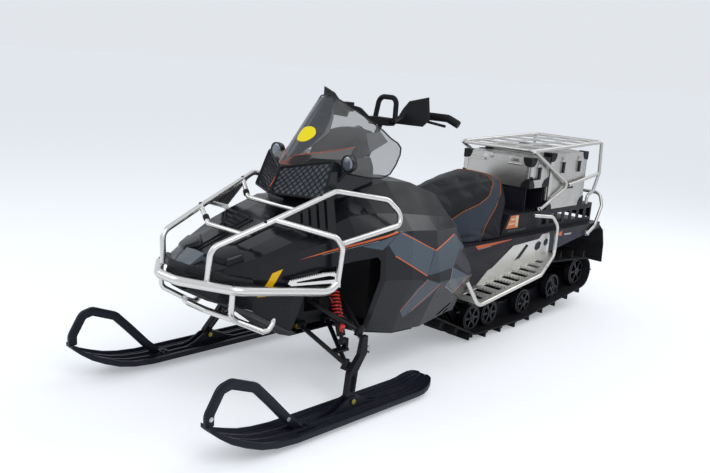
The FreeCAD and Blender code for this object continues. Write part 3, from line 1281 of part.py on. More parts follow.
def make_lid(name):
    """The shallow lid of a case with its share of the hinges."""
    front, rear, half, low, high = CASES[name]
    start = high + RUN
    outer = box(vec(rear, -half, start), vec(front, half, start + LID_HEIGHT))
    wall = CASE_SHEET
    inner = box(vec(rear + wall, -half + wall, start - 1), vec(front - wall, half - wall, start + LID_HEIGHT - wall))
    return fused([outer.cut(inner)] + knuckles(name, True))


def make_rear_bumper():
    """The grab tube round the tail."""
    side = TUNNEL_HALF + RUN + 11.0
    left = [vec(-1290.0, side, 475.0), vec(-1380.0, side, 520.0), vec(-1440.0, side, 640.0),
            vec(-1452.0, side - 27.0, 712.0)]
    pieces = [tube(whole_route(left), CAGE_TUBE, 45.0)]
    for way in (-1, 1):
        low, high = sorted((way * (TUNNEL_HALF + RUN), way * side))
        pieces.append(box(vec(-1330.0, low, 468.0), vec(-1285.0, high, 498.0)))
    return fused(pieces)


def make_snow_flap():
    """The hanging rubber flap behind the track."""
    line = [(TUNNEL_REAR_X - RUN, TUNNEL_TOP), (-1560.0, 470.0), (-1592.0, 380.0), (REAR_X, 262.0)]
    back = [(x + 8, z - 2) for x, z in reversed(line)]
    outline = line + back[:-1] + [(TUNNEL_REAR_X - RUN, TUNNEL_TOP - 14)]
    return side_plate(outline, -TRACK_WIDTH / 2, TRACK_WIDTH / 2)


def make_tail_lamp():
    """The tail lamp on the deck's rear edge."""
    return box(vec(DECK_REAR_X - 25.0, -70.0, 600.0), vec(DECK_REAR_X - RUN, 70.0, 640.0))


def build():
    """Every piece by its node name."""
    fairing = make_fairing()
    side = make_side_panel()
    board = make_running_board()
    spindle = make_spindle()
    ski = make_ski()
    handle = make_ski_handle()
    tie_rod = make_tie_rod()
    return {
        "belly_pan": make_belly_pan(),
        "nose_cap": make_nose_cap(),
        "hood": make_hood(),
        "front_fairings": both(fairing),
        "side_panels": both(side),
        "console": make_console(),
        "headlight_pod": make_headlight_pod(),
        "spot_lamps": make_lamps(),
        "windshield": make_windshield(),
        "seat": make_seat(),
        "seat_base": make_seat_base(),
        "rear_case": make_rear_case(),
        "engine_block": make_engine_block(),
        "tunnel": make_tunnel(),
        "running_boards": both(board),
        "bulkhead": make_bulkhead(),
        "control_arms": make_control_arms(),
        "shocks": make_shocks(),
        "spindle_left": spindle,
        "spindle_right": mirrored(spindle),
        "ski_left": ski,
        "ski_right": mirrored(ski),
        "ski_handle_left": handle,
        "ski_handle_right": mirrored(handle),
        "tie_rod_left": tie_rod,
        "tie_rod_right": mirrored(tie_rod),
        "steering_post": make_steering_post(),
        "handlebar": make_handlebar(),
        "hand_guards": make_hand_guards(),
        "bumper_main": make_bumper_main(),
        "bumper_rails": make_bumper_rails(),
        "track": make_track(),
        "slide_rails": make_slide_rails(),
        "track_wheels": make_track_wheels(),
        "drive_axle": make_drive_axle(),
        "track_suspension": make_track_suspension(),
        "rear_deck": make_rear_deck(),
        "cage": make_cage(),
        "box_front": make_case("box_front"),
        "box_front_lid": make_lid("box_front"),
        "box_rear": make_case("box_rear"),
        "box_rear_lid": make_lid("box_rear"),
        "rear_bumper": make_rear_bumper(),
        "snow_flap": make_snow_flap(),
        "tail_lamp": make_tail_lamp(),
    }


os.makedirs("parts", exist_ok=True)
for node, shape in build().items():
    shape.exportStep(f"parts/{node}.step")
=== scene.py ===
"""Looks of a utility snowmobile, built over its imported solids, with a camera, lamps and a pale floor."""

import json
import logging
import math
from dataclasses import dataclass
from enum import Enum

import bmesh
import bpy
from mathutils import Matrix, Vector
from mathutils.bvhtree import BVHTree

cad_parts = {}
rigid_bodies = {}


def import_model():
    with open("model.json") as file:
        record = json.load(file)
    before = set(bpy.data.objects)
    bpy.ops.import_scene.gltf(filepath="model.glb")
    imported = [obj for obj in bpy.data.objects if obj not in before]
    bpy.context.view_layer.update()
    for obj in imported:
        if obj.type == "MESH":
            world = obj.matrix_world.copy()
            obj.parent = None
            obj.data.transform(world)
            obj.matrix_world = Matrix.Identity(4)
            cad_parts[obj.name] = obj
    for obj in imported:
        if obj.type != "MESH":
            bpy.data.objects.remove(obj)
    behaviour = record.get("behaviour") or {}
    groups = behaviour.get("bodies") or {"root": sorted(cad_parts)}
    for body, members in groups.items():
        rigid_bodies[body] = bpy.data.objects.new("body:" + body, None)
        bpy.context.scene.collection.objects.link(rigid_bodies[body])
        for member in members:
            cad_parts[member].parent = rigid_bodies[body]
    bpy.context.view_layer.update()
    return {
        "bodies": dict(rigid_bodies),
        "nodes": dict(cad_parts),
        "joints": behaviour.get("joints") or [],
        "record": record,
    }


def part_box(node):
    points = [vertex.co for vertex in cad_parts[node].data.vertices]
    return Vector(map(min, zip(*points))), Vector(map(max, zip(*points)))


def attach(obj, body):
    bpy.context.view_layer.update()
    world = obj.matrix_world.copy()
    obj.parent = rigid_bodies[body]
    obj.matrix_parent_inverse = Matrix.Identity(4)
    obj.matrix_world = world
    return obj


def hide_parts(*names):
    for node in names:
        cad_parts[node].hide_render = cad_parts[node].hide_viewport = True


LOG = logging.getLogger("snowmobile")

Colour = tuple[float, float, float]
Flat = tuple[float, float]
Place = tuple[float, float, float]

BLUE_GREY: Colour = (0.072, 0.098, 0.125)
ORANGE: Colour = (0.78, 0.15, 0.045)
PALE: Colour = (0.42, 0.42, 0.43)
AMBER: Colour = (0.86, 0.50, 0.01)
CREAM: Colour = (0.74, 0.62, 0.44)
SEAM_BLACK: Colour = (0.008, 0.008, 0.009)

# Middle of each ski, from the machine's middle
SKI_Y = 0.475

# Section of a strap with its corners cut, as shares of its half width and half thickness
BEVELLED = ((-1, -0.6), (-0.6, -1), (0.6, -1), (1, -0.6), (1, 0.6), (0.6, 1), (-0.6, 1), (-1, 0.6))

AHEAD = Vector((1, 0, 0))
LEFT = Vector((0, 1, 0))
UP = Vector((0, 0, 1))


class Body(Enum):
    """Moving bodies of the machine."""

    CHASSIS = "chassis"
    BAR = "handlebar"
    SKI_LEFT = "ski_left"
    SKI_RIGHT = "ski_right"
    FRONT_LID = "front_lid"
    REAR_LID = "rear_lid"


class Grain(Enum):
    """Kinds of surface relief: noise scale across one metre, bump depth in metres."""

    SMOOTH = (90.0, 0.00008)
    MOULDED = (900.0, 0.00025)
    PEBBLED = (420.0, 0.0006)
    BRUSHED = (260.0, 0.00012)
    RUBBER = (240.0, 0.0005)


# Node trees


class Tree:
    """A node tree under construction."""

    def __init__(self, tree: bpy.types.NodeTree) -> None:
        """Takes the tree that the nodes go into."""
        self.tree = tree
        self.given: bpy.types.bpy_prop_collection | None = None

    @classmethod
    def group(cls, name: str, kind: str, inputs: dict[str, tuple[str, object]],
              outputs: dict[str, str]) -> "Tree":
        """Starts a node group.

        Args:
            name: name of the group.
            kind: type of the tree.
            inputs: socket type and default of each named input.
            outputs: socket type of each named output.

        Returns:
            The group's tree, with its input sockets as given.
        """
        made = cls(bpy.data.node_groups.new(name, kind))
        face = made.tree.interface
        for label, (socket_kind, default) in inputs.items():
            socket = face.new_socket(label, in_out="INPUT", socket_type=f"NodeSocket{socket_kind}")
            if default is not None:
                socket.default_value = default
        for label, socket_kind in outputs.items():
            face.new_socket(label, in_out="OUTPUT", socket_type=f"NodeSocket{socket_kind}")
        made.given = made.tree.nodes.new("NodeGroupInput").outputs
        return made

    def feed(self, source: object, target: bpy.types.NodeSocket) -> None:
        """Gives a socket a plain value or another socket's."""
        if isinstance(source, bpy.types.NodeSocket):
            self.tree.links.new(source, target)
        else:
            target.default_value = source

    def node(self, kind: str, inputs: dict[str | int, object],
             **settings: object) -> bpy.types.bpy_prop_collection:
        """Adds a node.

        Args:
            kind: type of the node.
            inputs: value or source of each input, by name or number.
            settings: the node's own settings.

        Returns:
            The node's outputs.
        """
        made = self.tree.nodes.new(kind)
        for key, value in settings.items():
            setattr(made, key, value)
        self.fill(made, inputs)
        return made.outputs

    def fill(self, made: bpy.types.Node, inputs: dict[str | int, object]) -> None:
        """Gives a node's inputs their values and sources."""
        for key, source in inputs.items():
            self.feed(source, made.inputs[key])

    def math(self, operation: str, *sources: object) -> bpy.types.NodeSocket:
        """The result of a Math node on its sources in order."""
        return self.node("ShaderNodeMath", dict(enumerate(sources)), operation=operation)["Value"]

    def steps(self, value: bpy.types.NodeSocket, low: float, high: float, to_low: float = 0.0,
              to_high: float = 1.0) -> bpy.types.NodeSocket:
        """A value whose range from low to high is drawn out to another range and cut off there."""
        return self.node("ShaderNodeMapRange", {"Value": value, "From Min": low, "From Max": high,
                                                "To Min": to_low, "To Max": to_high})["Result"]

    def blend(self, share: bpy.types.NodeSocket, under: object, over: object) -> bpy.types.NodeSocket:
        """One colour laid over another by a share."""
        return self.node("ShaderNodeMix", {"Factor": share, "A": under, "B": over},
                         data_type="RGBA")["Result"]

    def close(self, results: dict[str, bpy.types.NodeSocket]) -> bpy.types.NodeTree:
        """Ends a group in its named results."""
        self.fill(self.tree.nodes.new("NodeGroupOutput"), results)
        return self.tree


class ShaderGroups:
    """Shader node groups shared by the finishes, each built once."""

    RELIEF = {"Height": "Float", "Shade": "Float"}

    def __init__(self) -> None:
        """Builds every group."""
        self.grain = self._grain()
        self.wear = self._wear()
        self.brushed = self._brushed()
        self.half_plane = self._half_plane()

    @staticmethod
    def _start(name: str, outputs: dict[str, str], **inputs: tuple[str, object]) -> Tree:
        """Starts a shader group that reads a vector besides its own inputs."""
        return Tree.group(name, "ShaderNodeTree", {"Vector": ("Vector", None), **inputs}, outputs)

    def _grain(self) -> bpy.types.NodeTree:
        """Fine relief of moulded and covered surfaces."""
        t = self._start("fine grain", self.RELIEF, Scale=("Float", 400.0))
        place = {"Vector": t.given["Vector"]}
        fine = t.node("ShaderNodeTexNoise", {**place, "Scale": t.given["Scale"], "Detail": 3.0})
        cells = t.node("ShaderNodeTexVoronoi", {**place, "Scale": t.given["Scale"]})
        broad = t.node("ShaderNodeTexNoise", {**place, "Scale": 9.0, "Detail": 5.0})
        return t.close({"Height": t.math("ADD", fine["Fac"], cells["Distance"]), "Shade": broad["Fac"]})

    def _wear(self) -> bpy.types.NodeTree:
        """Dust, fine scratches and rubbed spots over a base colour."""
        t = self._start("dust and scuffs", {"Color": "Color", "Mask": "Float"},
                        Base=("Color", (0.1, 0.1, 0.1, 1)), Worn=("Color", (0.4, 0.4, 0.4, 1)),
                        Amount=("Float", 0.2), Scale=("Float", 14.0))
        drawn_out = t.node("ShaderNodeMapping", {"Vector": t.given["Vector"], "Scale": (3.0, 40.0, 55.0)})
        lines = t.node("ShaderNodeTexNoise", {"Vector": drawn_out["Vector"], "Scale": 6.0, "Detail": 4.0})
        cloud = t.node("ShaderNodeTexNoise", {"Vector": t.given["Vector"], "Scale": t.given["Scale"],
                                              "Detail": 8.0, "Roughness": 0.68})
        both = t.math("MAXIMUM", t.steps(cloud["Fac"], 0.5, 0.8), t.steps(lines["Fac"], 0.62, 0.74))
        share = t.math("MULTIPLY", both, t.given["Amount"])
        return t.close({"Color": t.blend(share, t.given["Base"], t.given["Worn"]), "Mask": share})

    def _brushed(self) -> bpy.types.NodeTree:
        """Fine lines of rolled or brushed metal, drawn out along one direction."""
        t = self._start("brushed lines", self.RELIEF, Stretch=("Vector", (4.0, 260.0, 260.0)))
        place = t.node("ShaderNodeVectorMath", {0: t.given["Vector"], 1: t.given["Stretch"]},
                       operation="MULTIPLY")
        lines = t.node("ShaderNodeTexNoise", {"Vector": place["Vector"], "Scale": 1.0, "Detail": 4.0})
        return t.close({"Height": lines["Fac"], "Shade": lines["Fac"]})

    def _half_plane(self) -> bpy.types.NodeTree:
        """Distance from a straight line drawn on a panel, positive on its inner side."""
        t = self._start("straight edge", {"Distance": "Float"}, Direction=("Vector", (1.0, 0.0, 0.0)),
                        Offset=("Float", 0.0))
        along = t.node("ShaderNodeVectorMath", {0: t.given["Vector"], 1: t.given["Direction"]},
                       operation="DOT_PRODUCT")
        return t.close({"Distance": t.math("SUBTRACT", along["Value"], t.given["Offset"])})


@dataclass(frozen=True)
class Patch:
    """A colour block painted on a panel: convex outline in x and z."""

    colour: Colour
    outline: tuple[Flat, ...]


def beside(first: Vector, second: Vector) -> Vector:
    """The unit direction to the left of a step in the plane."""
    return Vector((first.y - second.y, second.x - first.x)).normalized()


def stroke(colour: Colour, start: Flat, end: Flat, width: float) -> Patch:
    """A straight painted line.

    Args:
        colour: paint of the line.
        start: first end as x and z, in metres.
        end: second end.
        width: width of the line in metres.

    Returns:
        The line as a narrow colour block.
    """
    first, last = Vector(start), Vector(end)
    across = beside(first, last) * (width / 2)
    corners = (first + across, first - across, last - across, last + across)
    return Patch(colour, tuple((c.x, c.y) for c in corners))


@dataclass(frozen=True)
class Finish:
    """One finish of the machine and how its shader is made."""

    name: str
    colour: Colour
    roughness: float = 0.5
    metallic: float = 0.0
    coat: float = 0.0
    spec: float = 0.16
    grain: Grain = Grain.SMOOTH
    worn: Colour = (0.30, 0.30, 0.31)
    wear: float = 0.10
    wear_scale: float = 14.0
    alpha: float = 1.0
    patches: tuple[Patch, ...] = ()
    seams: tuple[tuple[str, Colour], ...] = ()


class Paintshop:
    """Makes each finish's material once and hands it out again."""

    BUMP_STRENGTH = 0.6
    COAT_ROUGHNESS = 0.08
    # How far the relief spreads the roughness, and how much rubbed spots add to it
    ROUGHNESS_SPREAD = (0.82, 1.2)
    RUBBED_ROUGHNESS = 0.35
    # Softness of painted edges and of the seams between covers, in metres
    PATCH_EDGE = (-0.0002, 0.0003)
    SEAM_EDGE = (-0.0006, 0.0006)

    def __init__(self, groups: ShaderGroups) -> None:
        """Keeps the shared groups."""
        self.groups = groups
        self.made: dict[str, bpy.types.Material] = {}

    def _mask(self, t: Tree, where: bpy.types.NodeSocket, patch: Patch) -> bpy.types.NodeSocket:
        """A mask that is 1 inside a colour block and 0 outside it.

        Args:
            t: the material's nodes.
            where: the Object coordinate socket.
            patch: the colour block.

        Returns:
            The mask's socket.
        """
        points = [Vector(p) for p in patch.outline]
        if sum(a.x * b.y - b.x * a.y for a, b in zip(points, points[1:] + points[:1])) < 0:
            points.reverse()
        inside = None
        for first, second in zip(points, points[1:] + points[:1]):
            inward = beside(first, second)
            edge = t.node("ShaderNodeGroup", {
                "Vector": where, "Direction": (inward.x, 0.0, inward.y), "Offset": inward.dot(first)},
                          node_tree=self.groups.half_plane)
            inside = edge["Distance"] if inside is None else t.math("MINIMUM", inside, edge["Distance"])
        return t.steps(inside, *self.PATCH_EDGE)

    def _relief(self, t: Tree, where: bpy.types.NodeSocket, grain: Grain) -> bpy.types.bpy_prop_collection:
        """The height and shade of a kind of surface."""
        if grain is Grain.BRUSHED:
            return t.node("ShaderNodeGroup", {"Vector": where}, node_tree=self.groups.brushed)
        return t.node("ShaderNodeGroup", {"Vector": where, "Scale": grain.value[0]},
                      node_tree=self.groups.grain)

    def material(self, finish: Finish) -> bpy.types.Material:
        """The material of a finish.

        Args:
            finish: the finish wanted.

        Returns:
            Its material, built at the first call.
        """
        if finish.name in self.made:
            return self.made[finish.name]
        made = bpy.data.materials.new(finish.name)
        made.use_nodes = True
        t = Tree(made.node_tree)
        where = t.node("ShaderNodeTexCoord", {})["Object"]
        colour: object = (*finish.colour, 1.0)
        for name, paint in finish.seams:
            side = t.node("ShaderNodeAttribute", {}, attribute_name=name)["Fac"]
            colour = t.blend(t.steps(side, *self.SEAM_EDGE), colour, (*paint, 1.0))
        for patch in finish.patches:
            colour = t.blend(self._mask(t, where, patch), colour, (*patch.colour, 1.0))
        wear = t.node("ShaderNodeGroup", {
            "Vector": where, "Base": colour, "Worn": (*finish.worn, 1.0), "Amount": finish.wear,
            "Scale": finish.wear_scale}, node_tree=self.groups.wear)
        relief = self._relief(t, where, finish.grain)
        bump = t.node("ShaderNodeBump", {"Strength": self.BUMP_STRENGTH, "Distance": finish.grain.value[1],
                                         "Height": relief["Height"]})
        less, more = (finish.roughness * spread for spread in self.ROUGHNESS_SPREAD)
        rough = t.steps(relief["Shade"], 0.3, 0.7, max(0.03, less), min(1.0, more))
        t.fill(made.node_tree.nodes["Principled BSDF"], {
            "Base Color": wear["Color"], "Normal": bump["Normal"], "Metallic": finish.metallic,
            "Roughness": t.math("MULTIPLY_ADD", wear["Mask"], self.RUBBED_ROUGHNESS, rough),
            "Specular IOR Level": finish.spec, "Coat Weight": finish.coat,
            "Coat Roughness": self.COAT_ROUGHNESS, "Alpha": finish.alpha})
        self.made[finish.name] = made
        return made


SIDE_PATCHES = (
    Patch(BLUE_GREY, ((0.524, 0.703), (0.277, 0.588), (0.343, 0.482), (0.560, 0.598), (0.605, 0.650))),
    Patch((0.060, 0.082, 0.104),
          ((0.272, 0.585), (0.058, 0.630), (-0.010, 0.560), (0.125, 0.486), (0.340, 0.483))),
    Patch(BLUE_GREY, ((0.178, 0.403), (0.125, 0.486), (-0.017, 0.423), (0.066, 0.346))),
    Patch(BLUE_GREY, ((0.447, 0.320), (0.391, 0.427), (0.344, 0.467), (0.240, 0.428), (0.281, 0.360),
                      (0.366, 0.306), (0.406, 0.277))),
    Patch((0.040, 0.036, 0.050), ((0.102, 0.506), (0.027, 0.560), (-0.052, 0.454), (-0.005, 0.433))),
    Patch(BLUE_GREY, ((0.745, 0.655), (0.548, 0.690), (0.640, 0.632))),
    stroke(SEAM_BLACK, (0.505, 0.716), (0.323, 0.645), 0.005),
    stroke(SEAM_BLACK, (0.323, 0.645), (0.060, 0.658), 0.005),
    stroke(ORANGE, (0.518, 0.691), (0.277, 0.589), 0.0035),
    stroke(ORANGE, (0.560, 0.598), (0.343, 0.482), 0.0045),
    stroke(ORANGE, (0.272, 0.584), (0.066, 0.628), 0.0060),
    stroke(ORANGE, (0.447, 0.322), (0.344, 0.464), 0.0030),
    stroke(ORANGE, (0.366, 0.308), (0.240, 0.428), 0.0040),
    stroke(ORANGE, (-0.017, 0.424), (0.064, 0.348), 0.0040),
    stroke(PALE, (0.178, 0.403), (0.066, 0.346), 0.0022),
    stroke(PALE, (0.178, 0.403), (0.125, 0.486), 0.0022),
    Patch(ORANGE, ((1.045, 0.6265), (0.857, 0.661), (0.548, 0.703), (0.545, 0.695), (0.857, 0.652))),
    stroke(PALE, (0.935, 0.636), (0.660, 0.672), 0.0016),
    Patch(AMBER, ((1.192, 0.484), (1.147, 0.580), (1.105, 0.594), (1.160, 0.484))),
)

DECK_PATCHES = (
    Patch((0.62, 0.13, 0.045), ((-0.161, 0.536), (-0.491, 0.5365), (-0.470, 0.531), (-0.181, 0.517))),
    stroke((0.030, 0.030, 0.034), (-0.230, 0.5265), (-0.470, 0.533), 0.0016),
    stroke(PALE, (-0.190, 0.514), (-0.300, 0.521), 0.0022),
)

CASE_PATCHES = (
    Patch((0.70, 0.22, 0.10), ((-0.500, 0.578), (-0.540, 0.645), (-0.615, 0.645), (-0.615, 0.575))),
    Patch(CREAM, ((-0.588, 0.582), (-0.588, 0.640), (-0.611, 0.640), (-0.611, 0.582))),
    Patch(CREAM, ((-0.522, 0.597), (-0.526, 0.604), (-0.580, 0.604), (-0.580, 0.597))),
    Patch(CREAM, ((-0.540, 0.621), (-0.544, 0.629), (-0.580, 0.629), (-0.580, 0.621))),
    stroke((0.060, 0.060, 0.066), (-0.520, 0.562), (-0.700, 0.562), 0.014),
)

TUNNEL_PATCHES = (
    Patch((0.72, 0.16, 0.04), ((-0.955, 0.506), (-1.022, 0.494), (-1.022, 0.524))),
    stroke(PALE, (-1.050, 0.500), (-1.130, 0.498), 0.010),
    stroke((0.035, 0.020, 0.018), (-0.330, 0.470), (-0.760, 0.420), 0.0020),
    Patch((0.011, 0.014, 0.034), ((-0.780, 0.500), (-1.470, 0.486), (-1.470, 0.240), (-0.780, 0.330))),
)


class Finishes:
    """Every finish of the machine, named for where it is used."""

    PANEL = Finish("painted body panel", (0.008, 0.009, 0.012), 0.25, coat=0.10, wear=0.05,
                   worn=(0.055, 0.057, 0.065), patches=SIDE_PATCHES)
    BONNET = Finish("gloss black bonnet", (0.006, 0.007, 0.010), 0.20, coat=0.16, wear=0.06,
                    worn=(0.06, 0.06, 0.07))
    CONSOLE = Finish("console moulding", (0.009, 0.010, 0.012), 0.42, grain=Grain.MOULDED, wear=0.16,
                     worn=(0.07, 0.07, 0.08))
    MOULDED = Finish("black moulded plastic", (0.012, 0.012, 0.014), 0.46, grain=Grain.MOULDED, wear=0.12,
                     worn=(0.06, 0.06, 0.066))
    DULL = Finish("dull under-tray plastic", (0.011, 0.011, 0.014), 0.60, grain=Grain.MOULDED, wear=0.16,
                  worn=(0.06, 0.06, 0.066))
    REAR_CASE = Finish("rear side moulding", (0.012, 0.012, 0.015), 0.50, grain=Grain.MOULDED, wear=0.14,
                       worn=(0.06, 0.06, 0.07), patches=CASE_PATCHES)
    SIDE_COVER = Finish("seat side moulding", (0.014, 0.013, 0.018), 0.46, grain=Grain.MOULDED, wear=0.16,
                        worn=(0.06, 0.055, 0.07), patches=DECK_PATCHES)
    SKI = Finish("ski plastic", (0.011, 0.012, 0.021), 0.34, grain=Grain.MOULDED, wear=0.16,
                 worn=(0.07, 0.07, 0.10), wear_scale=22.0)
    TUBE = Finish("bright drawn tube", (0.70, 0.69, 0.67), 0.30, metallic=1.0, grain=Grain.BRUSHED,
                  wear=0.16, worn=(0.46, 0.45, 0.43), wear_scale=9.0)
    RACK = Finish("rack tube", (0.50, 0.49, 0.475), 0.34, metallic=1.0, grain=Grain.BRUSHED, wear=0.22,
                  worn=(0.30, 0.29, 0.28), wear_scale=12.0)
    CASE = Finish("rolled case sheet", (0.50, 0.49, 0.47), 0.33, metallic=1.0, grain=Grain.BRUSHED,
                  wear=0.42, worn=(0.22, 0.215, 0.205), wear_scale=6.0)
    CASE_EDGE = Finish("case corner post", (0.56, 0.55, 0.53), 0.28, metallic=1.0, grain=Grain.BRUSHED,
                       wear=0.25, worn=(0.34, 0.33, 0.31), wear_scale=9.0)
    BOARD = Finish("pressed board metal", (0.62, 0.61, 0.58), 0.38, metallic=1.0, grain=Grain.BRUSHED,
                   wear=0.35, worn=(0.30, 0.285, 0.26), wear_scale=11.0)
    SHEET = Finish("black painted sheet", (0.012, 0.012, 0.018), 0.40, wear=0.22, worn=(0.07, 0.07, 0.09))
    TUNNEL = Finish("painted tunnel sheet", (0.018, 0.017, 0.023), 0.38, wear=0.22, worn=(0.08, 0.08, 0.10),
                    patches=TUNNEL_PATCHES)
    FRAME = Finish("dark painted steel", (0.016, 0.016, 0.019), 0.45, wear=0.15, worn=(0.07, 0.07, 0.07))
    ARM = Finish("black painted tube", (0.009, 0.009, 0.011), 0.34, coat=0.1, wear=0.12,
                 worn=(0.07, 0.07, 0.07))
    FORGED = Finish("black forged leg", (0.012, 0.012, 0.016), 0.38, metallic=0.2, wear=0.16,
                    worn=(0.09, 0.09, 0.10))
    ROD = Finish("plated rod", (0.44, 0.44, 0.43), 0.34, metallic=1.0, grain=Grain.BRUSHED)
    RED = Finish("red spring paint", (0.60, 0.022, 0.018), 0.30, coat=0.4, wear=0.08,
                 worn=(0.35, 0.05, 0.04))
    YELLOW = Finish("yellow plated bolt", (0.50, 0.38, 0.08), 0.34, metallic=0.8, wear=0.1)
    BOLT = Finish("plated bolt", (0.55, 0.55, 0.54), 0.30, metallic=1.0, wear=0.1)
    RUBBER = Finish("track rubber", (0.012, 0.012, 0.013), 0.68, grain=Grain.RUBBER, wear=0.30,
                    worn=(0.055, 0.055, 0.06), wear_scale=18.0)
    GRIP = Finish("grip rubber", (0.009, 0.009, 0.010), 0.60, grain=Grain.RUBBER, wear=0.08,
                  worn=(0.05, 0.05, 0.05))
    WHEEL = Finish("dark wheel plastic", (0.008, 0.008, 0.010), 0.40, wear=0.16, worn=(0.06, 0.06, 0.07))
    SPOKE = Finish("wheel spoke plastic", (0.030, 0.030, 0.036), 0.34, wear=0.25, worn=(0.14, 0.14, 0.16))
    FLAP = Finish("flap rubber", (0.012, 0.012, 0.014), 0.58, grain=Grain.RUBBER, wear=0.3,
                  worn=(0.05, 0.05, 0.055))
    LAMP_SHELL = Finish("lamp shell", (0.010, 0.010, 0.012), 0.30, coat=0.3)
    LAMP_GLASS = Finish("lamp glass", (0.20, 0.23, 0.28), 0.12, coat=0.9, metallic=0.5, wear=0.25,
                        worn=(0.55, 0.58, 0.62), wear_scale=60.0)
    HEADLAMP = Finish("headlamp glass", (0.055, 0.065, 0.082), 0.10, coat=0.8, wear=0.35,
                      worn=(0.30, 0.33, 0.37), wear_scale=32.0)
    LENS = Finish("grey lens", (0.10, 0.12, 0.145), 0.12, coat=0.6, wear=0.10, worn=(0.25, 0.27, 0.30))
    TAIL = Finish("red tail lens", (0.42, 0.012, 0.010), 0.14, coat=0.8, wear=0.06)
    DISC = Finish("yellow disc", (0.90, 0.74, 0.012), 0.38, coat=0.2, wear=0.04, worn=(0.6, 0.5, 0.1))
    ORANGE_TRIM = Finish("orange trim", (0.66, 0.085, 0.030), 0.34, coat=0.3, wear=0.05,
                         worn=(0.3, 0.06, 0.03))
    ENGINE = Finish("engine casting", (0.035, 0.035, 0.038), 0.55, grain=Grain.PEBBLED,
                    worn=(0.1, 0.1, 0.1))
    # Painted shade: near-black with no gloss, standing for the dark inside of the vent openings.
    VENT_SHADE = Finish("painted vent shade", (0.002, 0.002, 0.002), 0.9, spec=0.0)
    SEAT = Finish("seat cover", (0.010, 0.009, 0.013), 0.52, grain=Grain.PEBBLED, wear=0.14,
                  worn=(0.05, 0.05, 0.058), wear_scale=30.0,
                  seams=(("zone_band", (0.034, 0.043, 0.060)), ("zone_top", (0.007, 0.008, 0.010))))
    PIPING = Finish("orange piping", (0.36, 0.105, 0.022), 0.5, grain=Grain.PEBBLED, worn=(0.2, 0.08, 0.03))
    SCREEN = Finish("smoked screen", (0.055, 0.057, 0.062), 0.07, alpha=0.34, coat=0.4, wear=0.10,
                    worn=(0.55, 0.55, 0.57), wear_scale=20.0)
    SCREEN_CENTRE = Finish("tinted screen centre", (0.060, 0.064, 0.073), 0.14, alpha=0.90, coat=0.4,
                           wear=0.16, worn=(0.20, 0.205, 0.215), wear_scale=34.0)
    SCREEN_BAND = Finish("screen base film", (0.016, 0.014, 0.015), 0.20, alpha=0.94, coat=0.5, wear=0.14,
                         worn=(0.10, 0.085, 0.08), wear_scale=30.0)


# Mesh building


def rounded(points: list[Place], bend: float, steps: int = 6, closed: bool = False) -> list[Vector]:
    """A route whose corners are replaced by arcs.

    Args:
        points: corners of the route.
        bend: radius of the arcs, less where runs are short.
        steps: points in each arc.
        closed: whether the last corner joins the first.

    Returns:
        The points of the smooth route.
    """
    corners = [Vector(p) for p in points]
    count = len(corners)
    result: list[Vector] = []
    for i, corner in enumerate(corners):
        if not closed and i in (0, count - 1):
            result.append(corner)
            continue
        before = corners[i - 1] - corner
        after = corners[(i + 1) % count] - corner
        turn = math.pi - before.angle(after)
        if turn < 0.02:
            result.append(corner)
            continue
        reach = min(bend * math.tan(turn / 2), 0.45 * min(before.length, after.length))
        start = corner + before.normalized() * reach
        end = corner + after.normalized() * reach
        for k in range(steps + 1):
            share = k / steps
            first = start.lerp(corner, share)
            second = corner.lerp(end, share)
            result.append(first.lerp(second, share))
    return result


def opposite(points: list[Vector]) -> list[Vector]:
    """The same points on the other side of the machine, in reverse order."""
    return [Vector((p.x, -p.y, p.z)) for p in reversed(points)]


def oval(middle: Vector, first: Vector, second: Vector, size: Flat, sides: int) -> list[Vector]:
    """Points round an oval.

    Args:
        middle: its centre.
        first: direction of its first axis.
        second: direction of its second axis.
        size: half its size along each axis.
        sides: number of points.

    Returns:
        The points.
    """
    angles = [2 * math.pi * k / sides for k in range(sides)]
    return [middle + first * (math.cos(a) * size[0]) + second * (math.sin(a) * size[1]) for a in angles]


def settled(holder: bpy.types.Object) -> bpy.types.Mesh:
    """An object's mesh with its modifiers worked in."""
    bpy.context.view_layer.update()
    return bpy.data.meshes.new_from_object(holder.evaluated_get(bpy.context.evaluated_depsgraph_get()))


def faces_of(mesh: bpy.types.Mesh) -> BVHTree:
    """A search tree of a mesh's faces."""
    bm = bmesh.new()
    bm.from_mesh(mesh)
    found = BVHTree.FromBMesh(bm)
    bm.free()
    return found


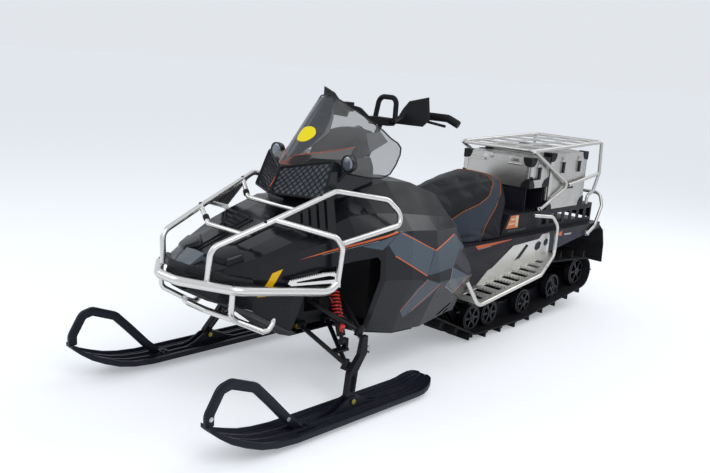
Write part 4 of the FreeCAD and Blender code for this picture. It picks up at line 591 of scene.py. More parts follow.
class Form:
    """A mesh under construction."""

    def __init__(self) -> None:
        """Starts empty."""
        self.bm = bmesh.new()

    def skin(self, rings: list[list[Vector]], closed: bool = False) -> "Form":
        """Faces between rings of equal count, with flat ends.

        Args:
            rings: rings of points.
            closed: whether the last ring joins the first.

        Returns:
            This form.
        """
        made = [[self.bm.verts.new(p) for p in ring] for ring in rings]
        pairs = list(zip(made, made[1:]))
        if closed:
            pairs.append((made[-1], made[0]))
        for a, b in pairs:
            count = len(a)
            for k in range(count):
                self.bm.faces.new((a[k], a[(k + 1) % count], b[(k + 1) % count], b[k]))
        if not closed:
            self.bm.faces.new(list(reversed(made[0])))
            self.bm.faces.new(made[-1])
        return self

    def tube(self, path: list[Vector | Place], radius: float, sides: int = 12,
             closed: bool = False) -> "Form":
        """A round bar along a path.

        Args:
            path: points along the middle.
            radius: radius of the bar.
            sides: faces round it.
            closed: whether the bar is a loop.

        Returns:
            This form.
        """
        points = [Vector(p) for p in path]
        count = len(points)
        ways = []
        for i in range(count):
            before = points[i - 1] if i > 0 or closed else points[i]
            after = points[(i + 1) % count] if i < count - 1 or closed else points[i]
            ways.append((after - before).normalized())
        normal = ways[0].orthogonal().normalized()
        rings = []
        for i, point in enumerate(points):
            if i:
                normal = ways[i - 1].rotation_difference(ways[i]) @ normal
            normal = (normal - ways[i] * normal.dot(ways[i])).normalized()
            side = ways[i].cross(normal)
            rings.append(oval(point, normal, side, (radius, radius), sides))
        return self.skin(rings, closed)

    def lathe(self, centre: Place, axis: Place, profile: list[Flat], sides: int = 28) -> "Form":
        """A turned form.

        Args:
            centre: point on the axis.
            axis: direction of the axis.
            profile: distance along the axis and radius at each step.
            sides: faces round it.

        Returns:
            This form.
        """
        way = Vector(axis).normalized()
        first = way.orthogonal().normalized()
        second = way.cross(first)
        rings = []
        for along, radius in profile:
            rings.append(oval(Vector(centre) + way * along, first, second, (radius, radius), sides))
        return self.skin(rings)

    def slab(self, outline: list[Place], depth: Place) -> "Form":
        """A flat outline given a thickness."""
        base = [Vector(p) for p in outline]
        return self.skin([base, [p + Vector(depth) for p in base]])

    def block(self, low: Place, high: Place) -> "Form":
        """A block between two corners."""
        (x1, y1, z1), (x2, y2, z2) = low, high
        return self.slab([(x1, y1, z1), (x2, y1, z1), (x2, y2, z1), (x1, y2, z1)], (0, 0, z2 - z1))

    def twin(self) -> "Form":
        """Adds the same form on the right-hand side."""
        copied = bmesh.ops.duplicate(self.bm, geom=[*self.bm.verts, *self.bm.edges, *self.bm.faces])
        faces = [g for g in copied["geom"] if isinstance(g, bmesh.types.BMFace)]
        for item in copied["geom"]:
            if isinstance(item, bmesh.types.BMVert):
                item.co.y = -item.co.y
        bmesh.ops.reverse_faces(self.bm, faces=faces)
        return self

    def make(self, name: str, material: bpy.types.Material, crease: float = 32.0,
             bevel: float = 0.0) -> bpy.types.Object:
        """Ends the form as an object.

        Args:
            name: name of the piece.
            material: its material.
            crease: angle in degrees above which an edge stays sharp.
            bevel: width of the edge rounding.

        Returns:
            The object, at the origin with its place in its mesh.
        """
        bmesh.ops.remove_doubles(self.bm, verts=self.bm.verts, dist=1e-6)
        bmesh.ops.recalc_face_normals(self.bm, faces=self.bm.faces)
        if bevel > 0:
            sharp = [e for e in self.bm.edges if len(e.link_faces) == 2
                     and e.calc_face_angle(0.0) > math.radians(crease)]
            bmesh.ops.bevel(self.bm, geom=sharp, offset=bevel, segments=2, profile=0.6, affect="EDGES",
                            clamp_overlap=True)
        limit = math.radians(crease)
        for face in self.bm.faces:
            face.smooth = True
        for edge in self.bm.edges:
            edge.smooth = len(edge.link_faces) == 2 and edge.calc_face_angle(0.0) < limit
        mesh = bpy.data.meshes.new(name)
        self.bm.to_mesh(mesh)
        self.bm.free()
        mesh.materials.append(material)
        made = bpy.data.objects.new(name, mesh)
        bpy.context.scene.collection.objects.link(made)
        return made


def cutout(outline: list[Flat], holes: list[list[Flat]], thickness: float, place: Matrix) -> bpy.types.Mesh:
    """A flat plate with holes.

    Args:
        outline: outer corners in the plate's plane.
        holes: corners of each hole.
        thickness: thickness of the plate.
        place: matrix that lays the plate's plane in the machine.

    Returns:
        The plate's mesh.
    """
    curve = bpy.data.curves.new("plate outline", "CURVE")
    curve.dimensions = "2D"
    curve.fill_mode = "BOTH"
    curve.extrude = thickness / 2
    for ring in [outline] + holes:
        spline = curve.splines.new("POLY")
        spline.points.add(len(ring) - 1)
        for point, (x, y) in zip(spline.points, ring):
            point.co = (x, y, 0.0, 1.0)
        spline.use_cyclic_u = True
    holder = bpy.data.objects.new("plate outline", curve)
    bpy.context.scene.collection.objects.link(holder)
    mesh = settled(holder)
    bpy.data.objects.remove(holder)
    bpy.data.curves.remove(curve)
    mesh.transform(place)
    return mesh


def plane_matrix(origin: Place, across: Place, up: Place) -> Matrix:
    """A matrix whose first axis runs across, whose second is nearest to up, from an origin."""
    first = Vector(across).normalized()
    third = first.cross(Vector(up)).normalized()
    second = third.cross(first)
    matrix = Matrix((first, second, third)).transposed().to_4x4()
    matrix.translation = Vector(origin)
    return matrix


def mesh_piece(name: str, meshes: list[bpy.types.Mesh], material: bpy.types.Material,
               twin: bool = False) -> bpy.types.Object:
    """One object from several meshes, with its twin on the right where asked."""
    form = Form()
    for mesh in meshes:
        form.bm.from_mesh(mesh)
    if twin:
        form.twin()
    return form.make(name, material)


# What repeats


class Patterns:
    """The geometry node trees for what repeats, and the step that runs them."""

    INSTANCES = "GeometryNodeInstanceOnPoints"
    ALIGN = "FunctionNodeAlignRotationToVector"
    CIRCLE = "GeometryNodeCurvePrimitiveCircle"

    def __init__(self) -> None:
        """Builds every tree."""
        self.bolts = self._bolts()
        self.wires = self._wires()
        self.beads = self._beads()
        self.coil = self._coil()
        self.teeth = self._teeth()
        self.ribs = self._ribs()
        self.spokes = self._spokes()

    @staticmethod
    def _start(name: str, **inputs: tuple[str, object]) -> Tree:
        """Starts a tree that takes a mesh, the named inputs and a finish."""
        sockets = {"Geometry": ("Geometry", None), **inputs, "Finish": ("Material", None)}
        return Tree.group(name, "GeometryNodeTree", sockets, {"Geometry": "Geometry"})

    @staticmethod
    def _close(t: Tree, geometry: bpy.types.NodeSocket) -> bpy.types.NodeTree:
        """Ends a tree in realized instances with their finish."""
        real = t.node("GeometryNodeRealizeInstances", {"Geometry": geometry})
        paint = t.node("GeometryNodeSetMaterial",
                       {"Geometry": real["Geometry"], "Material": t.given["Finish"]})
        return t.close({"Geometry": paint["Geometry"]})

    @staticmethod
    def _even(t: Tree) -> bpy.types.NodeSocket:
        """The incoming line with points at the tree's own pitch."""
        line = t.node("GeometryNodeMeshToCurve", {"Mesh": t.given["Geometry"]})
        even = t.node("GeometryNodeResampleCurve", {"Curve": line["Curve"], "Length": t.given["Pitch"]},
                      mode="LENGTH")
        return even["Curve"]

    def _bolts(self) -> bpy.types.NodeTree:
        """Hexagon heads on washers at each point, facing along the point's own direction."""
        t = self._start("bolt heads on points", Head=("Float", 0.006), Height=("Float", 0.005))
        head, height = t.given["Head"], t.given["Height"]
        bolt = t.node("GeometryNodeMeshCylinder", {"Vertices": 6, "Radius": head, "Depth": height})
        washer = t.node("GeometryNodeMeshCylinder", {
            "Vertices": 16, "Radius": t.math("MULTIPLY", head, 1.45),
            "Depth": t.math("MULTIPLY", height, 0.35)})
        join = t.tree.nodes.new("GeometryNodeJoinGeometry")
        for part in (bolt, washer):
            t.feed(part["Mesh"], join.inputs["Geometry"])
        facing = t.node("GeometryNodeInputNamedAttribute", {"Name": "facing"}, data_type="FLOAT_VECTOR")
        turn = t.node(self.ALIGN, {"Vector": facing["Attribute"]}, axis="Z")
        return self._close(t, t.node(self.INSTANCES, {
            "Points": t.given["Geometry"], "Instance": join.outputs["Geometry"],
            "Rotation": turn["Rotation"]})["Instances"])

    def _wires(self) -> bpy.types.NodeTree:
        """A round wire along every edge."""
        t = self._start("wire along edges", Radius=("Float", 0.001), Sides=("Int", 8))
        line = t.node("GeometryNodeMeshToCurve", {"Mesh": t.given["Geometry"]})
        ring = t.node(self.CIRCLE, {"Resolution": t.given["Sides"], "Radius": t.given["Radius"]})
        return self._close(t, t.node("GeometryNodeCurveToMesh", {
            "Curve": line["Curve"], "Profile Curve": ring["Curve"], "Fill Caps": True})["Mesh"])

    def _beads(self) -> bpy.types.NodeTree:
        """Small drawn-out beads along an edge line, as stitches are."""
        t = self._start("stitches along a line", Pitch=("Float", 0.006), Size=("Float", 0.0008),
                        Stretch=("Float", 2.2))
        bead = t.node("GeometryNodeMeshIcoSphere", {"Radius": t.given["Size"], "Subdivisions": 1})
        way = t.node("GeometryNodeInputTangent", {})
        scale = t.node("ShaderNodeCombineXYZ", {"X": 1.0, "Y": 1.0, "Z": t.given["Stretch"]})
        return self._close(t, t.node(self.INSTANCES, {
            "Points": self._even(t), "Instance": bead["Mesh"], "Scale": scale["Vector"],
            "Rotation": t.node(self.ALIGN, {"Vector": way["Tangent"]}, axis="Z")["Rotation"]})["Instances"])

    def _coil(self) -> bpy.types.NodeTree:
        """A coil spring about Z, from the origin up."""
        t = self._start("coil spring", Turns=("Float", 8.0), Coil=("Float", 0.024), Length=("Float", 0.18),
                        Wire=("Float", 0.004))
        coil = t.given["Coil"]
        turns = t.node("GeometryNodeCurveSpiral", {
            "Resolution": 22, "Rotations": t.given["Turns"], "Start Radius": coil, "End Radius": coil,
            "Height": t.given["Length"]})
        ring = t.node(self.CIRCLE, {"Resolution": 8, "Radius": t.given["Wire"]})
        return self._close(t, t.node("GeometryNodeCurveToMesh", {
            "Curve": turns["Curve"], "Profile Curve": ring["Curve"], "Fill Caps": True})["Mesh"])

    def _teeth(self) -> bpy.types.NodeTree:
        """A straight row of blocks, first block at the origin."""
        t = self._start("row of blocks", Count=("Int", 8), Step=("Vector", (0.01, 0, 0)),
                        Size=("Vector", (0.005, 0.005, 0.005)))
        line = t.node("GeometryNodeMeshLine", {"Count": t.given["Count"], "Offset": t.given["Step"]},
                      mode="OFFSET")
        tooth = t.node("GeometryNodeMeshCube", {"Size": t.given["Size"]})
        return self._close(t, t.node(self.INSTANCES, {
            "Points": line["Mesh"], "Instance": tooth["Mesh"]})["Instances"])

    def _ribs(self) -> bpy.types.NodeTree:
        """Raised rings round a line, as on a rubber grip."""
        t = self._start("rings along a line", Pitch=("Float", 0.006), Ring=("Float", 0.0168),
                        Wire=("Float", 0.0011))
        big = t.node(self.CIRCLE, {"Resolution": 18, "Radius": t.given["Ring"]})
        small = t.node(self.CIRCLE, {"Resolution": 5, "Radius": t.given["Wire"]})
        ring = t.node("GeometryNodeCurveToMesh", {"Curve": big["Curve"], "Profile Curve": small["Curve"]})
        way = t.node("GeometryNodeInputTangent", {})
        return self._close(t, t.node(self.INSTANCES, {
            "Points": self._even(t), "Instance": ring["Mesh"],
            "Rotation": t.node(self.ALIGN, {"Vector": way["Tangent"]}, axis="Z")["Rotation"]})["Instances"])

    def _spokes(self) -> bpy.types.NodeTree:
        """Blocks standing round the Z axis, each pointing outwards."""
        t = self._start("spokes round an axle", Count=("Int", 6), Ring=("Float", 0.035),
                        Size=("Vector", (0.04, 0.008, 0.006)))
        ring = t.node("GeometryNodeMeshCircle", {"Vertices": t.given["Count"], "Radius": t.given["Ring"]})
        spoke = t.node("GeometryNodeMeshCube", {"Size": t.given["Size"]})
        where = t.node("GeometryNodeInputPosition", {})
        return self._close(t, t.node(self.INSTANCES, {
            "Points": ring["Mesh"], "Instance": spoke["Mesh"],
            "Rotation": t.node(self.ALIGN, {"Vector": where["Position"]},
                               axis="X")["Rotation"]})["Instances"])

    @staticmethod
    def run(tree: bpy.types.NodeTree, host: bpy.types.Mesh, values: dict[str, object]) -> bpy.types.Mesh:
        """Runs a tree on a mesh.

        Args:
            tree: the geometry node tree.
            host: mesh that the tree starts from.
            values: value of each named input.

        Returns:
            The result as a plain mesh.
        """
        holder = bpy.data.objects.new("pattern host", host)
        bpy.context.scene.collection.objects.link(holder)
        modifier = holder.modifiers.new("pattern", "NODES")
        modifier.node_group = tree
        for item in tree.interface.items_tree:
            if item.item_type == "SOCKET" and item.in_out == "INPUT" and item.name in values:
                modifier[item.identifier] = values[item.name]
        result = settled(holder)
        bpy.data.objects.remove(holder)
        return result


def line_mesh(points: list[Vector]) -> bpy.types.Mesh:
    """A mesh of points joined by edges."""
    mesh = bpy.data.meshes.new("line")
    mesh.from_pydata([tuple(p) for p in points], [(i, i + 1) for i in range(len(points) - 1)], [])
    return mesh


def joined(meshes: list[bpy.types.Mesh], name: str) -> bpy.types.Object:
    """One object from finished meshes that keep their materials."""
    bm = bmesh.new()
    result = bpy.data.meshes.new(name)
    for mesh in meshes:
        base = len(result.materials)
        for material in mesh.materials:
            result.materials.append(material)
        start = len(bm.faces)
        bm.from_mesh(mesh)
        bm.faces.ensure_lookup_table()
        for face in bm.faces[start:]:
            face.material_index += base
    bm.to_mesh(result)
    bm.free()
    made = bpy.data.objects.new(name, result)
    bpy.context.scene.collection.objects.link(made)
    return made


class Workshop:
    """What every sub-assembly needs: the paint, the patterns and the frame."""

    def __init__(self, frame: dict) -> None:
        """Keeps the frame and builds the shared trees."""
        self.frame = frame
        self.paint = Paintshop(ShaderGroups())
        self.patterns = Patterns()
        self.count = 0

    def finish(self, finish: Finish) -> bpy.types.Material:
        """The material of a finish."""
        return self.paint.material(finish)

    def dress(self, node: str, *finishes: Finish) -> None:
        """Gives a solid its finish.

        Args:
            node: name of the solid.
            finishes: one finish for each of its slots; the last serves any more.
        """
        target = self.frame["nodes"][node]
        if not target.material_slots:
            target.data.materials.append(None)
        for i, slot in enumerate(target.material_slots):
            slot.material = self.finish(finishes[min(i, len(finishes) - 1)])
        LOG.info("dressed %s", node)

    def put(self, piece: bpy.types.Object, body: Body, slot: str = "") -> bpy.types.Object:
        """Lets a piece ride on a body and logs it."""
        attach(piece, body.value)
        self.count += 1
        LOG.info("piece %s on %s, %d faces", piece.name, body.value, len(piece.data.polygons))
        return piece

    def add(self, form: Form, name: str, finish: Finish, crease: float, body: Body = Body.CHASSIS,
            bevel: float = 0.0) -> bpy.types.Object:
        """Ends a form as a piece that rides on a body.

        Args:
            form: the form.
            name: name of the piece.
            finish: its finish.
            crease: angle in degrees above which an edge stays sharp.
            body: body that it rides on.
            bevel: width of the edge rounding.

        Returns:
            The piece.
        """
        return self.put(form.make(name, self.finish(finish), crease, bevel), body)

    def repeat(self, tree: bpy.types.NodeTree, host: bpy.types.Mesh, finish: Finish,
               **values: object) -> bpy.types.Mesh:
        """The plain mesh that a pattern makes of a host mesh."""
        return self.patterns.run(tree, host, {**values, "Finish": self.finish(finish)})

    def bolts(self, name: str, places: list[tuple[Place, Place]], head: float, height: float,
              finish: Finish, body: Body) -> None:
        """Bolt heads at places.

        Args:
            name: name of the piece.
            places: centre and direction of each head.
            head: radius of the head.
            height: height of the head.
            finish: finish of the bolts.
            body: body they ride on.
        """
        mesh = bpy.data.meshes.new(name)
        mesh.from_pydata([p for p, _ in places], [], [])
        facing = mesh.attributes.new("facing", "FLOAT_VECTOR", "POINT")
        for item, (_, way) in zip(facing.data, places):
            item.vector = way
        heads = self.repeat(self.patterns.bolts, mesh, finish, Head=head, Height=height)
        self.put(joined([heads], name), body)

    def surface(self, node: str) -> BVHTree:
        """A search tree of a solid's faces."""
        return faces_of(self.frame["nodes"][node].data)


# Sub-assemblies


@dataclass
class BodyShell:
    """Panels, nose, louvred plates and what is fixed on them."""

    shop: Workshop
    pad_line: tuple[Place, ...] = ((1.3980, 0.000, 0.580), (1.3930, 0.052, 0.580), (1.3700, 0.100, 0.578),
                                   (1.3230, 0.186, 0.566), (1.2280, 0.246, 0.553))
    pad_height: float = 0.044
    pad_depth: float = 0.013
    web_front: Place = (1.1000, 0.2163, 0.7735)
    web_top: Place = (0.8450, 0.2599, 0.8710)
    web_low: Place = (0.9050, 0.3535, 0.7140)
    web_slots: tuple[float, ...] = (0.42, 0.56, 0.70, 0.84)
    web_slot_width: float = 0.0114
    web_slot_margin: float = 0.0163
    web_skin: float = 0.0052
    # Vents: both ends as x and z, and the width
    vent_slots: tuple[tuple[Flat, Flat, float], ...] = (((0.122, 0.232), (0.040, 0.284), 0.011),
                                                        ((0.112, 0.204), (0.038, 0.252), 0.009))
    vent_steps: int = 8
    vent_proud: float = 0.0012
    vent_depth: float = 0.0025
    # One boxed lens: corners of its foot as x and y, from the front inner one
    lens_foot: tuple[Flat, ...] = ((1.318, 0.080), (1.262, 0.040), (1.205, 0.118), (1.228, 0.188),
                                   (1.290, 0.162))
    # Small lens: front and rear corners as x and y, and the rise of its face towards the rear
    small_lens: tuple[Flat, ...] = ((1.376, -0.045), (1.376, 0.045), (1.318, 0.056), (1.318, -0.056))
    small_lens_rise: float = 0.024
    small_lens_depth: float = 0.028

    def build(self) -> None:
        """Dresses the panels and adds the trim."""
        shop = self.shop
        for node in ("front_fairings", "side_panels"):
            shop.dress(node, Finishes.PANEL)
        shop.dress("hood", Finishes.BONNET)
        shop.dress("console", Finishes.CONSOLE)
        shop.dress("nose_cap", Finishes.MOULDED)
        shop.dress("belly_pan", Finishes.DULL)
        self.nose_pad()
        self.web_skins()
        self.nose_lenses()
        self.recesses()
        self.vents()

    def vents(self) -> None:
        """Two slanted slots at the lower rear corner of each side panel, filled with painted shade:
        near-black sheets without gloss stand for the dark inside of the openings.
        """
        panels = self.shop.surface("side_panels")
        proud, sunk = LEFT * self.vent_proud, LEFT * -self.vent_depth
        form = Form()
        for start, end, wide in self.vent_slots:
            rings = []
            for k in range(self.vent_steps + 1):
                x, z = Vector(start).lerp(Vector(end), k / self.vent_steps)
                half = wide / 2 * (0.4 if k in (0, self.vent_steps) else 1.0)
                found = [panels.ray_cast(Vector((x, 1.0, z + off)), -LEFT)[0] for off in (-half, half)]
                if None not in found:
                    low, high = (spot + proud for spot in found)
                    rings.append([low, high, high + sunk, low + sunk])
            form.skin(rings)
        self.shop.add(form.twin(), "panel_vent_shade", Finishes.VENT_SHADE, 30)

    def nose_pad(self) -> None:
        """The rounded rubber strip round the nose."""
        left = rounded(list(self.pad_line), 0.06, 5)
        path = opposite(left[1:]) + left
        last = len(path) - 1
        rings = []
        for i, point in enumerate(path):
            way = (path[min(last, i + 1)] - path[max(0, i - 1)]).normalized()
            out = way.cross(UP).normalized()
            if out.x < 0:
                out = -out
            share = min(1.0, min(i, last - i) / 1.5)
            high = self.pad_height / 2 * (0.45 + 0.55 * share)
            rings.append(oval(point, out, UP, (self.pad_depth, high), 12))
        self.shop.add(Form().skin(rings), "nose_pad", Finishes.MOULDED, 50)

    def web_skins(self) -> None:
        """The black coating of the slotted triangular plates behind the upper rails."""
        front, top, low = (Vector(p) for p in (self.web_front, self.web_top, self.web_low))
        matrix = plane_matrix(tuple(front), tuple(low - front), tuple(top - front))
        flat = matrix.inverted()
        holes = []
        for share in self.web_slots:
            high_end = flat @ front.lerp(top, share)
            low_end = flat @ front.lerp(low, share)
            run = low_end - high_end
            middle = (high_end + low_end) / 2
            reach = run / 2 - run.normalized() * self.web_slot_margin
            side = Vector((-run.y, run.x, 0)).normalized() * (self.web_slot_width / 2)
            corners = (middle - reach - side, middle + reach - side, middle + reach + side,
                       middle - reach + side)
            holes.append([(c.x, c.y) for c in corners])
        outline = [(c.x, c.y) for c in (flat @ front, flat @ low, flat @ top)]
        plate = cutout(outline, holes, self.web_skin, matrix)
        self.shop.put(mesh_piece("rail_web_coating", [plate], self.shop.finish(Finishes.MOULDED),
                                 twin=True), Body.CHASSIS)

    @staticmethod
    def laid(surface: BVHTree, x: float, y: float, proud: float) -> Vector:
        """The place above (x, y) on a surface, raised along its normal."""
        spot, normal, _, _ = surface.ray_cast(Vector((x, y, 1.2)), -UP)
        return spot + normal * proud

    def recesses(self) -> None:
        """Gloss black boxed lenses on both sides of the nose, and the ridges behind them."""
        hood = self.shop.surface("hood")
        low = [self.laid(hood, x, y, -0.002) for x, y in self.lens_foot]
        middle = sum(low, Vector()) / len(low)
        rings = [low] + [[p.lerp(middle, share) + UP * rise for p in low]
                         for share, rise in ((0.04, 0.019), (0.16, 0.027))]
        self.shop.add(Form().skin(rings).twin(), "nose_side_lenses", Finishes.BONNET, 30, bevel=0.003)
        ridge = Form()
        for y in (0.052, 0.030):
            line = [self.laid(hood, x, y * (1.0 + (1.36 - x) * 1.6), 0.0015)
                    for x in (1.30, 1.20, 1.10, 1.00)]
            ridge.tube(line, 0.0034, 8)
        self.shop.add(ridge.twin(), "bonnet_ridges", Finishes.MOULDED, 60)

    def nose_lenses(self) -> None:
        """The small grey lens in the nose."""
        hood = self.shop.surface("hood")
        front_right, front_left, rear_left, rear_right = (Vector(p) for p in self.small_lens)
        rings = []
        for share in (0.0, 0.25, 0.5, 0.75, 1.0):
            front = front_right.lerp(front_left, share)
            rear = rear_right.lerp(rear_left, share)
            row = []
            for step in (0.0, 0.5, 1.0):
                spot = front.lerp(rear, step)
                row.append(self.laid(hood, spot.x, spot.y, 0.002) + UP * (self.small_lens_rise * step))
            rings.append(row + [p - UP * self.small_lens_depth for p in reversed(row)])
        self.shop.add(Form().skin(rings), "nose_lens", Finishes.LENS, 40)


@dataclass
class Front:
    """Lamp pod, mesh guards, spot lamps and the screen."""

    shop: Workshop
    ridge_top: Place = (0.903, 0.0, 0.938)
    ridge_low: Place = (0.950, 0.0, 0.832)
    edge_top: Place = (0.790, 0.196, 0.984)
    edge_low: Place = (0.848, 0.210, 0.832)
    lamp_face_x: float = 0.742
    lamp_y: float = 0.224
    lamp_z: float = 0.978
    lamp_r: float = 0.036
    screen_tip: Place = (0.908, 0.0, 0.940)
    screen_slope: float = -0.8
    plan: tuple[Flat, ...] = ((0.0, 0.0), (0.022, 0.052), (0.078, 0.106), (0.196, 0.198), (0.358, 0.305))
    outline: tuple[Flat, ...] = ((0.0, 0.946), (0.178, 0.938), (0.257, 0.920), (0.288, 0.921),
                                 (0.301, 0.938), (0.302, 0.975), (0.298, 1.016), (0.290, 1.045),
                                 (0.276, 1.064), (0.252, 1.083), (0.222, 1.114), (0.176, 1.151),
                                 (0.128, 1.185), (0.083, 1.214), (0.045, 1.236), (0.0, 1.244))
    thickness: float = 0.004
    # Slope of the plan beyond its last point, and both faces of the glass before the lamps
    outer_slope: float = 1.51
    glass: Flat = (0.0045, 0.0030)
    # Under and upper side of the layers on the screen
    tint_layer: Flat = (0.0004, 0.0012)
    film_layer: Flat = (0.0004, 0.0013)
    disc_layer: Flat = (0.0013, 0.0026)
    line_lift: float = 0.0014
    # Guards: cells across the width, rows of cells, wire and frame radius, and how far they stand off
    guard_cells: int = 9
    guard_rows: int = 5
    guard_wire: float = 0.0017
    guard_frame: float = 0.0045
    guard_lift: float = 0.009
    # Sticker: middle as y and z, and radius
    sticker: Place = (0.020, 1.077, 0.036)
    # Instrument hood: x, half width, foot and top of each section
    hood_sections: tuple[tuple[float, ...], ...] = (
        (0.690, 0.060, 0.978, 1.000), (0.640, 0.100, 0.978, 1.040), (0.560, 0.128, 0.978, 1.082),
        (0.470, 0.118, 1.010, 1.100), (0.440, 0.100, 1.040, 1.088))

    def build(self) -> None:
        """Dresses the pod, the lamps and the screen."""
        shop = self.shop
        shop.dress("headlight_pod", Finishes.BONNET)
        shop.dress("windshield", Finishes.SCREEN)
        self.guards()
        self.lamps()
        self.screen_trim()
        self.screen_centre()
        self.screen_band()
        self.dash()
        self.disc()

    def on_screen(self, y: float, z: float, proud: float = 0.0) -> Vector:
        """The place of (y, z) on the screen's front face, moved outwards by proud."""
        side = abs(y)
        depth = self.plan[-1][0]
        slope = self.outer_slope
        for (d1, y1), (d2, y2) in zip(self.plan, self.plan[1:]):
            if side <= y2:
                slope = (d2 - d1) / (y2 - y1)
                depth = d1 + slope * (side - y1)
                break
        x = self.screen_tip[0] - depth + self.screen_slope * (z - self.screen_tip[2])
        out = Vector((1.0, slope * (1 if y > 0 else -1) if side > 1e-6 else 0.0,
                      -self.screen_slope)).normalized()
        return Vector((x, y, z)) + out * proud

    def guard_lines(self, quad: list[Vector], lift: Vector) -> bpy.types.Mesh:
        """The crossed lines of both guards' wires.

        Args:
            quad: corners of the left guard.
            lift: how the wires stand off them.

        Returns:
            The lines as edges.
        """
        cells, rows = self.guard_cells, self.guard_rows
        verts: list[Vector] = []
        edges: list[tuple[int, int]] = []
        for i in range(-rows, cells + rows + 1):
            for way in (1, -1):
                start = len(verts)
                for step in range(rows * 2 + 1):
                    u = (i + way * step / 2.0) / cells
                    if 0.0 <= u <= 1.0:
                        low, high = quad[0].lerp(quad[1], u), quad[3].lerp(quad[2], u)
                        verts.append(low.lerp(high, step / (rows * 2)) + lift)
                if len(verts) - start == 1:
                    verts.pop()
                edges += [(k, k + 1) for k in range(start, len(verts) - 1)]
        side = len(verts)
        verts += [Vector((p.x, -p.y, p.z)) for p in verts]
        edges += [(a + side, b + side) for a, b in edges]
        mesh = bpy.data.meshes.new("guard lines")
        mesh.from_pydata([tuple(v) for v in verts], edges, [])
        return mesh

    def guards(self) -> None:
        """The two diamond wire guards with their frames, and the lamps' glass behind them."""
        shop = self.shop
        quad = [Vector(p) for p in (self.ridge_low, self.edge_low, self.edge_top, self.ridge_top)]
        out = (quad[1] - quad[0]).cross(quad[3] - quad[0]).normalized()
        if out.x < 0:
            out = -out
        lift = out * self.guard_lift
        wires = shop.repeat(shop.patterns.wires, self.guard_lines(quad, lift), Finishes.MOULDED,
                            Radius=self.guard_wire, Sides=6)
        shop.put(joined([wires], "lamp_guards"), Body.CHASSIS)
        route = rounded([tuple(p + lift) for p in quad], 0.012, 4, closed=True)
        shop.add(Form().tube(route, self.guard_frame, 10, closed=True).twin(), "lamp_guard_frames",
                 Finishes.MOULDED, 60)
        rings = []
        for i in range(9):
            low, high = quad[0].lerp(quad[1], i / 8), quad[3].lerp(quad[2], i / 8)
            face = [low.lerp(high, k / 6) for k in range(7)]
            over, under = self.glass
            rings.append([p + out * over for p in face] + [p + out * under for p in reversed(face)])
        shop.add(Form().skin(rings).twin(), "headlamp_glass", Finishes.HEADLAMP, 30)
        top, foot = Vector(self.ridge_top), Vector(self.ridge_low)
        trim = Form().tube([top + Vector((0.006, 0, -0.004)), foot + Vector((0.006, 0, 0.030))], 0.0016, 8)
        shop.add(trim, "pod_orange_line", Finishes.ORANGE_TRIM, 60)

    def lamps(self) -> None:
        """The two round spot lamps with bezel and glass."""
        shop = self.shop
        r = self.lamp_r
        bowl = [(-0.041, r * 0.35), (-0.038, r * 0.62), (-0.030, r * 0.86), (-0.016, r * 0.98), (-0.004, r),
                (0.0, r * 0.99), (0.0, r * 0.88), (-0.004, r * 0.86)]
        pane = [(-0.004, r * 0.86), (-0.0015, r * 0.80), (0.0, r * 0.5), (0.0005, r * 0.1)]
        shell, glass = Form(), Form()
        for side in (1, -1):
            centre = (self.lamp_face_x, side * self.lamp_y, self.lamp_z)
            shell.lathe(centre, AHEAD, bowl)
            glass.lathe(centre, AHEAD, pane)
        lamp = shop.add(shell, "spot_lamp_shells", Finishes.LAMP_SHELL, 50)
        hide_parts("spot_lamps")
        shop.add(glass, "spot_lamp_glass", Finishes.LAMP_GLASS, 50)

    def screen_trim(self) -> None:
        """The thin black edging round the screen."""
        half = list(self.outline)
        loop = half + [(-y, z) for y, z in reversed(half[1:-1])]
        points = []
        for (y1, z1), (y2, z2) in zip(loop, loop[1:] + loop[:1]):
            for k in range(6):
                share = k / 6
                points.append(self.on_screen(y1 + (y2 - y1) * share, z1 + (z2 - z1) * share,
                                             -self.thickness / 2))
        form = Form().tube(points, 0.0032, 8, closed=True)
        self.shop.add(form, "screen_edging", Finishes.MOULDED, 60)

    def screen_centre(self) -> None:
        """The tinted middle of the screen as a thin layer on its front."""
        edge = [(0.030, 0.985), (0.066, 1.030), (0.092, 1.090), (0.078, 1.150), (0.052, 1.205),
                (0.030, 1.234)]
        crease = self.plan[1][1]
        rings = []
        for (w1, z1), (w2, z2) in zip(edge, edge[1:]):
            for k in range(6):
                share = k / 6
                width = w1 + (w2 - w1) * share
                z = z1 + (z2 - z1) * share
                inner = min(width, crease)
                ys = (-width, -inner * 0.999, -inner / 2, 0.0, inner / 2, inner * 0.999, width)
                rings.append(self.layer([(y, z) for y in ys], *self.tint_layer))
        self.shop.add(Form().skin(rings), "screen_tint", Finishes.SCREEN_CENTRE, 50)

    def layer(self, places: list[Flat], under: float, over: float) -> list[Vector]:
        """A closed ring over places of (y, z) on the screen, between two heights above its face."""
        return ([self.on_screen(y, z, over) for y, z in places]
                + [self.on_screen(y, z, under) for y, z in reversed(places)])

    def film(self, low: list[Flat], high: list[Flat]) -> Form:
        """A thin layer on the screen between two lines of (y, z)."""
        rings = []
        for first, second in zip(low, high):
            ends = [Vector(first).lerp(Vector(second), k / 4) for k in range(5)]
            rings.append(self.layer([(p.x, p.y) for p in ends], *self.film_layer))
        return Form().skin(rings)

